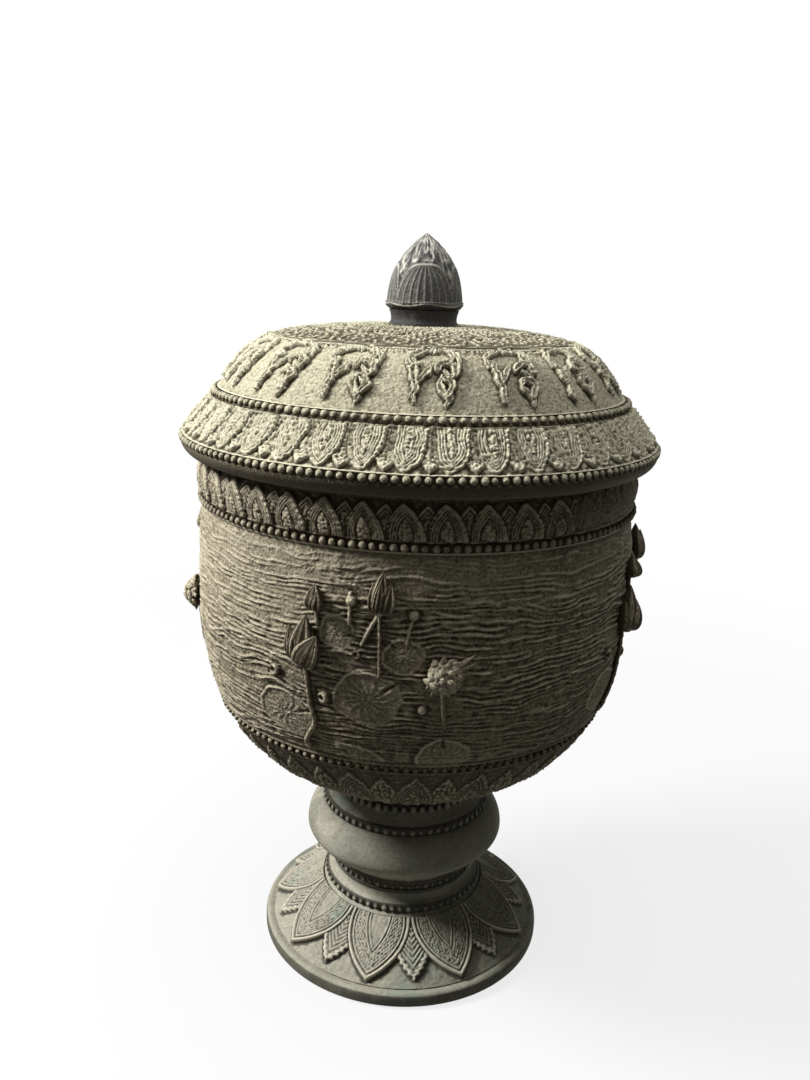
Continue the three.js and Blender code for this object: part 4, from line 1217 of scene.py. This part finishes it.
class BURNER_OT_stem(bpy.types.Operator):
    """Hollow turned stem with its bulging knop"""

    bl_idname = "burner.stem"
    bl_label = "Stem"

    def execute(self, context):
        base = STEM_BASE
        outer = [(31.0, base), (39.6, base), (39.6, base + 3.6), (38.6, base + 4.4)]
        outer += bend((37.6, base + 4.6), (36.2, base + 5.6), (36.0, base + 7.5), (36.0, base + 9.4), 6)
        outer += [(36.9, base + 9.7), (36.9, base + 10.4), (35.9, base + 10.6), (35.9, base + 13.6)]
        outer += [(36.9, base + 13.9), (36.9, base + 14.7), (36.4, base + 15.2)]
        knop = (50.2, base + 31.0)
        outer += bend((37.4, base + 17.4), (46.4, base + 23.6), (50.2, base + 27.2), knop)
        outer += bend(knop, (50.2, base + 37.0), (46.6, base + 42.6), (42.6, base + 43.9))[1:]
        outer += [(41.4, base + 44.0), (41.4, base + 47.6), (40.6, base + 48.0), (39.8, base + 48.4)]
        outer += bend((39.6, base + 48.6), (37.0, base + 51.0), (35.2, base + 53.0), (34.6, base + 54.2), 6)
        outer += [(34.0, base + 54.4), (34.0, base + 58.4), (35.0, base + 58.8), (34.0, STEM_TOP)]
        inner = [(BORE, STEM_TOP), (BORE, STEM_TOP - 6.0), (28.6, STEM_TOP - 6.0)]
        inner += [(35.6, base + 45.0), (44.6, base + 30.0), (34.0, base + 19.0), (31.0, base + 14.0)]
        tones = [
            ((38.0, 40.0), (base - 0.1, base + 4.0), -0.8),
            ((34.0, 38.0), (base + 8.0, base + 17.0), -0.45),
            ((40.2, 42.0), (base + 43.8, base + 48.2), -0.55),
            ((33.0, 36.0), (base + 53.0, base + 60.0), -0.55),
        ]
        bm = turned(outer + inner, STEM_SIDES, tones)
        finished(bm, "stem_casting", "base", "green_bronze", foot_bronze(), nodes=["stem"])
        return {"FINISHED"}


class BURNER_OT_bowl(bpy.types.Operator):
    """Bowl with its smoked inside"""

    bl_idname = "burner.bowl"
    bl_label = "Bowl"

    def execute(self, context):
        recess = context.scene.burner_sizes.recess / MM
        base = BOWL_BASE
        recesses = np.interp([z for _, z in WALL], [base, base + 46.0], [3.2, recess])
        outer = [(BORE, base), (31.6, base)] + moved_out(WALL, -recesses)[1:]
        outer += [(100.3, base + 143.3), (100.3, base + 146.3)]
        outer += moved_out(RIM_BAND, -recess) + [(98.8, base + 163.2), (98.2, BOWL_RIM)]
        inner = [(94.3, BOWL_RIM), (93.5, BOWL_RIM - 0.8), (93.5, BOWL_RIM - 7.0), (97.7, base + 143.0)]
        floor = base + 5.5
        inner += bend((99.3, base + 101.4), (99.3, base + 42.9), (76.5, base + 21.9), (34.0, floor), 28)
        channel = ((99.0, 100.8), (base + 143.0, base + 146.6), -0.7)
        bm = turned(outer + inner + [(BORE, floor)], CASTING_SIDES, [channel])
        sooted(bm)
        finished(bm, "bowl_casting", "base", "brown_bronze", bowl_bronze(), soot(), nodes=["bowl"])
        return {"FINISHED"}


class BURNER_OT_bowl_petals(bpy.types.Operator):
    """Upright petals under the rim and the calyx under the bowl"""

    bl_idname = "burner.bowl_petals"
    bl_label = "Bowl petals"

    def execute(self, context):
        base = BOWL_BASE
        # The upright petals darken towards the top: painted shade under the lid's overhang
        bm = carved_ring(RIM_BAND, BAND_GRID, carve_band, 4, rub=1.05, tone=(0.0, -0.2))
        finished(bm, "rim_petals", "base", "brown_bronze", bowl_bronze())
        calyx = part_of(WALL, base + 1.6, base + 45.4)
        # The calyx is toned dark, partly a darker patina and partly painted shade under the bowl
        ground, tone = (2.5, 1.2), (-0.65, -0.5)
        bm = carved_ring(calyx, CALYX_GRID, carve_calyx, 6, ground=ground, rub=0.8, tone=tone)
        finished(bm, "calyx_petals", "base", "brown_bronze", bowl_bronze())
        return {"FINISHED"}


class BURNER_OT_pond(bpy.types.Operator):
    """Water lines and lily pads round the bowl, in a lower and an upper band"""

    bl_idname = "burner.pond"
    bl_label = "Pond"

    def execute(self, context):
        foot, middle = BOWL_BASE + POND_FOOT, BOWL_BASE + POND_MIDDLE
        # The low band darkens towards its foot, partly patina and partly painted shade; the high band
        # lightens towards the rim, partly smooth worn metal and partly painted light where the wall turns
        # up
        bands = (
            ("pond_low", foot, middle, (-0.12, 0.0)),
            ("pond_high", middle, SHOULDER[1], (0.0, 0.25)),
        )
        for name, low, high, tone in bands:
            line = part_of(WALL, low, high)
            bm = carved_ring(line, POND_GRID, carve_pond, 5, rub=0.75, tone=tone)
            finished(bm, name, "base", "brown_bronze", bowl_bronze())
        return {"FINISHED"}


class BURNER_OT_sprigs(bpy.types.Operator):
    """Lotus buds and flowers in high relief, four sprays of four"""

    bl_idname = "burner.sprigs"
    bl_label = "Lotus sprigs"

    def execute(self, context):
        for group, quarter in GROUPS.items():
            for kind, model in SPRIGS.items():
                bm = blank()
                model(bm)
                set_on_wall(bm, FRONT + quarter * TURN / len(GROUPS))
                node = f"{group}_{kind}"
                finished(bm, f"{node}_cast", "base", "brown_bronze", bowl_bronze(), nodes=[node])
        return {"FINISHED"}


# The lid's outer side: skirt, shoulder and crown
SKIRT = [(109.15, LID_SEAT + 10.1), (96.0, LID_SEAT + 26.0)]
LID_SHOULDER = bend(
    (93.0, LID_SEAT + 29.6), (87.0, LID_SEAT + 37.1), (81.5, LID_SEAT + 47.9), (69.5, LID_SEAT + 52.4), 28
)
LID_CROWN = bend((67.8, LID_SEAT + 53.2), (58.4, LID_SEAT + 55.2), (41.7, LID_TOP), (16.0, LID_TOP), 28)


class BURNER_OT_lid(bpy.types.Operator):
    """Lid with its lip and its spigot in the bowl's mouth"""

    bl_idname = "burner.lid"
    bl_label = "Lid"

    def execute(self, context):
        recess = context.scene.burner_sizes.recess / MM
        seat = LID_SEAT
        spigot = [(89.5, LID_FOOT), (92.5, LID_FOOT), (92.5, seat), (103.0, seat)]
        lip = bend((103.6, seat + 0.1), (106.6, seat + 0.6), (109.0, seat + 3.2), (109.4, seat + 5.4), 8)
        channel = [(109.3, seat + 6.2), (108.6, seat + 6.7), (108.6, seat + 9.6)]
        outer = moved_out(SKIRT, -recess) + [(95.2, seat + 26.2), (93.0, seat + 28.9)]
        outer += moved_out(LID_SHOULDER, -recess) + [(68.0, seat + 50.4)] + moved_out(LID_CROWN, -recess)
        inner = [(BORE, LID_TOP - 0.7), (BORE, LID_TOP - LID_WALL)]
        for line in (LID_CROWN, LID_SHOULDER):
            inner += reversed(moved_out(line, -LID_WALL))
        inner += [(91.2, seat + 24.0), (89.5, seat + 20.0)]
        tones = [
            # The lip is toned dark, partly a darker patina and partly painted shade where it faces down and
            # out
            ((92.0, 109.6), (seat - 0.1, seat + 6.4), -0.6),
            ((92.0, 109.2), (seat + 6.5, seat + 29.6), -0.6),
            ((66.0, 69.6), (seat + 49.0, seat + 54.0), -0.9),
        ]
        bm = turned(spigot + lip + channel + outer + inner, CASTING_SIDES, tones)
        sooted(bm)
        finished(bm, "lid_casting", "lid", "pale_bronze", lid_bronze(), soot(), nodes=["lid"])
        return {"FINISHED"}


class BURNER_OT_lid_ornament(bpy.types.Operator):
    """Petals of the skirt, pendants of the shoulder and scrolls of the crown"""

    bl_idname = "burner.lid_ornament"
    bl_label = "Lid ornament"

    def execute(self, context):
        bands = (
            ("skirt_petals", SKIRT, SKIRT_GRID, carve_skirt, 1, 1.0, 0.2),
            ("shoulder_pendants", LID_SHOULDER, PENDANT_GRID, carve_shoulder, 5, 0.75, 0.2),
            # The crown is toned dark: painted shade on this up-facing top
            ("crown_scrolls", LID_CROWN, CROWN_GRID, carve_crown, 5, 1.2, -0.95),
        )
        for name, line, grid, carve, back, rub, tone in bands:
            bm = carved_ring(line, grid, carve, back, rub=rub, tone=(tone, tone))
            finished(bm, name, "lid", "pale_bronze", lid_bronze())
        return {"FINISHED"}


# Beads by casting: radius and height of each row, how far it faces outwards, number of beads,
# their size and height against the bead radius, and their tone; the bowl's rows are toned darker as painted
# shade
CALYX_BEADS = float(np.interp(BOWL_BASE + 47.4, WALL_AT[1], WALL_AT[0])) - 0.9
LID_BEADS = (
    (108.9, LID_SEAT + 8.2, 0.97, 168, 1.0, 1.0, -1.15),
    (94.4, LID_SEAT + 27.8, 0.77, 144, 1.0, 1.0, -1.15),
)
BOWL_BEADS = (
    (100.9, BOWL_BASE + 144.8, 0.999, 158, 1.0, 1.0, -1.25),
    (CALYX_BEADS, BOWL_BASE + 47.6, 0.85, 146, 0.9, 1.0, -1.45),
)
STEM_BEADS = (
    (35.4, STEM_BASE + 54.2, 0.98, 51, 0.95, 1.6, -1.3),
    (41.3, STEM_BASE + 45.8, 0.95, 61, 0.9, 1.1, -1.55),
    (36.0, STEM_BASE + 12.1, 0.98, 57, 0.75, 1.1, -1.65),
    (39.4, STEM_BASE + 1.9, 0.98, 61, 1.0, 1.0, -1.75),
)
BEAD_ROWS = (
    ("lid_beads", "lid", "pale_bronze", lid_bronze, LID_BEADS),
    ("bowl_beads", "base", "brown_bronze", bowl_bronze, BOWL_BEADS),
    ("stem_beads", "base", "green_bronze", foot_bronze, STEM_BEADS),
)


class BURNER_OT_beads(bpy.types.Operator):
    """Bead rows of lid, bowl and stem"""

    bl_idname = "burner.beads"
    bl_label = "Bead rows"

    def execute(self, context):
        for name, body, slot, finish, rows in BEAD_ROWS:
            bm = blank()
            for row in rows:
                bead_row(bm, *row)
            finished(bm, name, body, slot, finish())
        return {"FINISHED"}


# The bud's base with its lip, the curve up to its tip, and what its carving is measured by
BUD_OUTLINE = ((0.0, 0.0), (16.0, 0.0), (16.9, 0.9), (17.4, 1.8), (17.2, 2.5), (16.6, 3.1))
BUD_CURVE = bend((16.3, 3.5), (15.5, 13.0), (13.4, 23.5), (0.0, 33.0), 40)
BUD_PETALS = 4
LIP_LEVEL = 2.0
LIP_TOP = 2.6
PETAL_FOOT = 3.0
PETAL_RUN = 30.0
PETAL_ARCH = 0.56


class BURNER_OT_finial(bpy.types.Operator):
    """Lotus-bud finial and the collar under it"""

    bl_idname = "burner.finial"
    bl_label = "Finial"

    def execute(self, context):
        line = np.array(BUD_OUTLINE + tuple(BUD_CURVE), float)
        run = run_along(line)
        bm = blank()
        worn = bm.verts.layers.float["wear_and_painted_light"]
        sides, rings = BUD_GRID
        bmesh.ops.create_uvsphere(bm, u_segments=sides, v_segments=rings, radius=1.0)
        for vert in bm.verts:
            along = 1 - math.acos(limited(vert.co.z)) / math.pi
            angle = math.atan2(vert.co.x, -vert.co.y)
            r, z = (float(np.interp(along * run[-1], run, line[:, k])) for k in (0, 1))
            rise, wear_and_painted_light = self.carve(angle, z)
            vert[worn] = wear_and_painted_light
            near_lip = bell(z, LIP_LEVEL, 1.0)
            r += rise * min(1.0, r / 5.0) + near_lip * 0.4 * math.cos(8 * angle)
            z += near_lip * 0.6 * math.sin(5 * angle + 1)
            vert.co = around_axis(angle, r, BUD_BASE + min(z, BUD_TIP - BUD_BASE))
        bmesh.ops.recalc_face_normals(bm, faces=bm.faces)
        finished(bm, "finial_bud_cast", "lid", "dark_bronze", finial_bronze(), nodes=["finial_bud"])
        base = COLLAR_BASE
        outline = [(3.4, base), (15.7, base), (15.6, base + 0.8)]
        outline += bend((15.2, base + 1.1), (14.7, base + 2.6), (15.2, base + 4.8), (16.0, base + 6.5), 8)
        # The collar under the bud's lip is toned darker as painted shade
        collar_painted_shade = ((12.0, 17.0), (base, base + 7.0), -0.4)
        bm = turned(outline + [(3.4, base + 6.5)], COLLAR_SIDES, [collar_painted_shade])
        finished(bm, "finial_collar_cast", "lid", "dark_bronze", finial_bronze(), nodes=["finial_collar"])
        return {"FINISHED"}

    @staticmethod
    def carve(angle, level):
        """Rise and wear with painted light of the bud: four arched petals with fanned veins over a grooved
        tip.
        """
        # Below the petals: a pale crest on the lip, partly rubbed and partly a painted highlight, and
        # painted shade on the underside round it
        if level < LIP_TOP:
            return 0.0, 1.4 * bell(level, 2.1, 0.5) - 0.5
        up = (level - PETAL_FOOT) / PETAL_RUN
        place = angle / (TURN / BUD_PETALS)
        lean = 2 * (place - round(place))
        arch = PETAL_ARCH * math.sqrt(max(0.0, 1 - abs(lean) ** 4))
        edge = (arch - up) * PETAL_RUN
        inside = max(0.0, min(1.0, edge / 0.9 + 0.5))
        lip = bell(edge, 0.7, 0.7)
        fan = lean / max(0.2, math.sqrt(max(0.0, 1 - (up / PETAL_ARCH) ** 2)))
        vein = max(0.0, math.cos(8.0 * math.pi * fan)) ** 3 * inside * (edge > 1.6)
        round_share = (angle + math.pi) / TURN
        crease = float(drift(np.float64(34 * round_share), np.float64(6 * up), 34))
        rough = float(drift(np.float64(80 * round_share), np.float64(17 * up), 80, 2))
        fold = (1 - 4 * abs(crease - 0.5) + 1.6 * (rough - 0.5)) * (1 - inside)
        rise = 0.5 * inside + 0.4 * lip + 0.4 * vein + 0.45 * fold
        wear_and_painted_light = 0.9 * lip + 0.7 * vein + 0.7 * fold - 0.15 * inside - 0.05
        if -0.9 < edge < 0.0:
            wear_and_painted_light -= 0.7
        return rise, limited(wear_and_painted_light)


class BURNER_OT_liner(bpy.types.Operator):
    """Lift-out cup for the ash"""

    bl_idname = "burner.liner"
    bl_label = "Ash liner"

    def execute(self, context):
        low, high = (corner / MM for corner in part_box("ash_liner"))
        wall = bend((30.0, low.z), (64.0, low.z), (76.4, low.z + 26.0), (76.4, high.z - 1.4), 26)
        lip = [(77.6, high.z - 1.4), (78.0, high.z - 0.8), (77.6, high.z - 0.1), (76.6, high.z)]
        lip.append((75.2, high.z - 0.4))
        inside = list(reversed(moved_out(wall, -LINER_WALL)))[1:]
        middle = [(18.0, low.z + 5.2), (15.0, low.z + 6.6), (0.6, low.z + 6.6)]
        under = [(0.6, low.z + 5.1), (14.4, low.z + 5.1), (17.4, low.z + 3.6), (27.0, low.z + 0.5)]
        bm = turned(wall + lip + inside + middle + under, LINER_SIDES)
        finished(bm, "ash_liner_turned", "ash_liner", "brass", brass(), nodes=["ash_liner"])
        return {"FINISHED"}


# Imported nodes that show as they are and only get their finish
FITTINGS = (
    "tie_rod",
    "clamp_plate",
    "foot_washer",
    "foot_nut",
    "bowl_nut",
    "finial_stud",
    "finial_washer",
    "finial_nut",
)


class BURNER_OT_fittings(bpy.types.Operator):
    """Finishes of the tie rod, nuts, washers and clamp plate"""

    bl_idname = "burner.fittings"
    bl_label = "Fittings"

    def execute(self, context):
        metals = {"steel": steel(), "brass": brass()}
        slots = {row["node"]: row["material_slot"] for row in frame["record"]["subparts"]}
        for node in FITTINGS:
            mesh = frame["nodes"][node].data
            mesh.materials.clear()
            mesh.materials.append(metals[slots[node]])
        return {"FINISHED"}


WHITE = (1.0, 1.0, 1.0, 1.0)
BLACK = (0.0, 0.0, 0.0, 1.0)

# Floor: radius, drop below the foot and range of its fade into the white, in metres, then how
# bright it shows near the foot
FLOOR_RADIUS = 6.0
FLOOR_DROP = 0.0004
FLOOR_FADE = (0.2, 0.75)
FLOOR_GLOW = 0.8

# Soft light of the sky
SKY_TINT = (0.94, 0.95, 0.8, 1.0)
SKY_STRENGTH = 0.043

# Lamps: place, target and size in metres, power in watts
LAMPS = {
    "key": ((-1.15, -0.05, 1.16), (0, 0, 0.20), 0.5, 44.0),
    "fill": ((-0.5, -1.5, 0.9), (0, 0, 0.18), 1.2, 0.55),
    "top": ((0.1, -0.1, 1.65), (0, 0, 0.20), 0.9, 15.0),
}

# Camera: lens and sensor in millimetres, place in metres, angles in degrees
LENS = 31.67
SENSOR = 36.0
CAMERA_PLACE = (0.0, -0.4447, 0.3313)
CAMERA_PAN = 0.63
CAMERA_TILT = 74.6
CAMERA_ROLL = 2.1


class BURNER_OT_stage(bpy.types.Operator):
    """Pale floor, soft light from the upper left and the camera"""

    bl_idname = "burner.stage"
    bl_label = "Stage"

    def execute(self, context):
        scene = context.scene
        scene.view_settings.view_transform = "Standard"
        self.floor(scene)
        self.sky(scene)
        for name, lamp in LAMPS.items():
            self.lamp(scene, name, *lamp)
        self.camera(scene)
        return {"FINISHED"}

    def floor(self, scene):
        """A disc that fades into the white background."""
        bm = bmesh.new()
        bmesh.ops.create_circle(bm, cap_ends=True, segments=96, radius=FLOOR_RADIUS)
        bmesh.ops.translate(bm, verts=bm.verts, vec=(0, 0, -FLOOR_DROP))
        mesh = bpy.data.meshes.new("floor")
        bm.to_mesh(mesh)
        bm.free()
        mesh.materials.append(self.floor_paint(scene.burner_colours.floor))
        floor = bpy.data.objects.new("floor", mesh)
        scene.collection.objects.link(floor)

    @staticmethod
    def camera(scene):
        """The camera, placed as it was for the photograph."""
        lens = bpy.data.cameras.new("camera")
        lens.lens = LENS
        lens.sensor_width = SENSOR
        camera = bpy.data.objects.new("camera", lens)
        scene.collection.objects.link(camera)
        pan, tilt, roll = (
            Matrix.Rotation(math.radians(angle), 4, axis)
            for angle, axis in ((CAMERA_PAN, "Z"), (CAMERA_TILT, "X"), (CAMERA_ROLL, "Z"))
        )
        camera.matrix_world = Matrix.Translation(CAMERA_PLACE) @ pan @ tilt @ roll
        scene.camera = camera

    @staticmethod
    def seen(tree):
        """1 for what the camera, a reflection or a see-through surface shows."""
        path = put(tree, "ShaderNodeLightPath").outputs
        either = worked(tree, "MAXIMUM", path["Is Camera Ray"], path["Is Glossy Ray"])
        return worked(tree, "MAXIMUM", either, path["Is Transmission Ray"])

    def sky(self, scene):
        """White where it is seen, and soft light elsewhere."""
        world = bpy.data.worlds.new("studio")
        world.use_nodes = True
        tree = world.node_tree
        tree.nodes.clear()
        seen = self.seen(tree)
        soft = put(tree, "ShaderNodeBackground", {"Color": SKY_TINT, "Strength": SKY_STRENGTH})
        white = put(tree, "ShaderNodeBackground", {"Color": WHITE, "Strength": 1.0})
        mixed = put(tree, "ShaderNodeMixShader", {0: seen, 1: soft.outputs[0], 2: white.outputs[0]})
        put(tree, "ShaderNodeOutputWorld", {"Surface": mixed.outputs[0]})
        scene.world = world

    def floor_paint(self, tint):
        """Matt paint that takes the shadow and glows near white where it is seen."""
        material = bare_material("pale_floor")
        tree = material.node_tree
        seen = self.seen(tree)
        place = put(tree, "ShaderNodeTexCoord").outputs["Object"]
        away = put(tree, "ShaderNodeVectorMath", {0: place}, operation="LENGTH").outputs["Value"]
        far = stepped(tree, away, *FLOOR_FADE)
        paint = blended(tree, far, (*tint, 1.0), BLACK)
        matt = put(tree, "ShaderNodeBsdfDiffuse", {"Color": paint})
        near_white = worked(tree, "ADD", scaled(tree, far, 1 - FLOOR_GLOW), FLOOR_GLOW)
        strength = scaled(tree, seen, near_white)
        glow = put(tree, "ShaderNodeEmission", {"Color": WHITE, "Strength": strength})
        both = put(tree, "ShaderNodeAddShader", {0: matt.outputs[0], 1: glow.outputs[0]})
        put(tree, "ShaderNodeOutputMaterial", {"Surface": both.outputs[0]})
        return material

    @staticmethod
    def lamp(scene, name, place, target, size, power):
        """A round soft lamp, turned to its target."""
        light = bpy.data.lights.new(name, "AREA")
        light.shape = "DISK"
        light.size = size
        light.energy = power
        lamp = bpy.data.objects.new(name, light)
        scene.collection.objects.link(lamp)
        lamp.location = place
        lamp.rotation_euler = (Vector(target) - Vector(place)).to_track_quat("-Z", "Y").to_euler()


PIECES = (
    BURNER_OT_stage,
    BURNER_OT_foot,
    BURNER_OT_stem,
    BURNER_OT_bowl,
    BURNER_OT_bowl_petals,
    BURNER_OT_pond,
    BURNER_OT_sprigs,
    BURNER_OT_lid,
    BURNER_OT_lid_ornament,
    BURNER_OT_beads,
    BURNER_OT_finial,
    BURNER_OT_liner,
    BURNER_OT_fittings,
)


class BURNER_PT_panel(bpy.types.Panel):
    """Lists the pieces of the burner"""

    bl_idname = "BURNER_PT_panel"
    bl_label = "Incense Burner"
    bl_space_type = "VIEW_3D"
    bl_region_type = "UI"
    bl_category = "Burner"

    def draw(self, context):
        """Shows sizes and colours first, then a button for each piece."""
        for group in (context.scene.burner_sizes, context.scene.burner_colours):
            for name in group.__annotations__:
                self.layout.prop(group, name)
        for piece in PIECES:
            self.layout.operator(piece.bl_idname)


CLASSES = (BurnerSizes, BurnerColours, *PIECES, BURNER_PT_panel)


def register():
    """Makes the classes and their settings known."""
    for item in CLASSES:
        bpy.utils.register_class(item)
    bpy.types.Scene.burner_sizes = PointerProperty(type=BurnerSizes)
    bpy.types.Scene.burner_colours = PointerProperty(type=BurnerColours)


def unregister():
    """Takes the settings and classes away again."""
    del bpy.types.Scene.burner_colours
    del bpy.types.Scene.burner_sizes
    for item in reversed(CLASSES):
        bpy.utils.unregister_class(item)


def main():
    """Builds the burner and its stage."""
    register()
    for piece in PIECES:
        family, name = piece.bl_idname.split(".")
        getattr(getattr(bpy.ops, family), name)()
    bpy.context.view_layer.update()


if __name__ == "__main__":
    main()
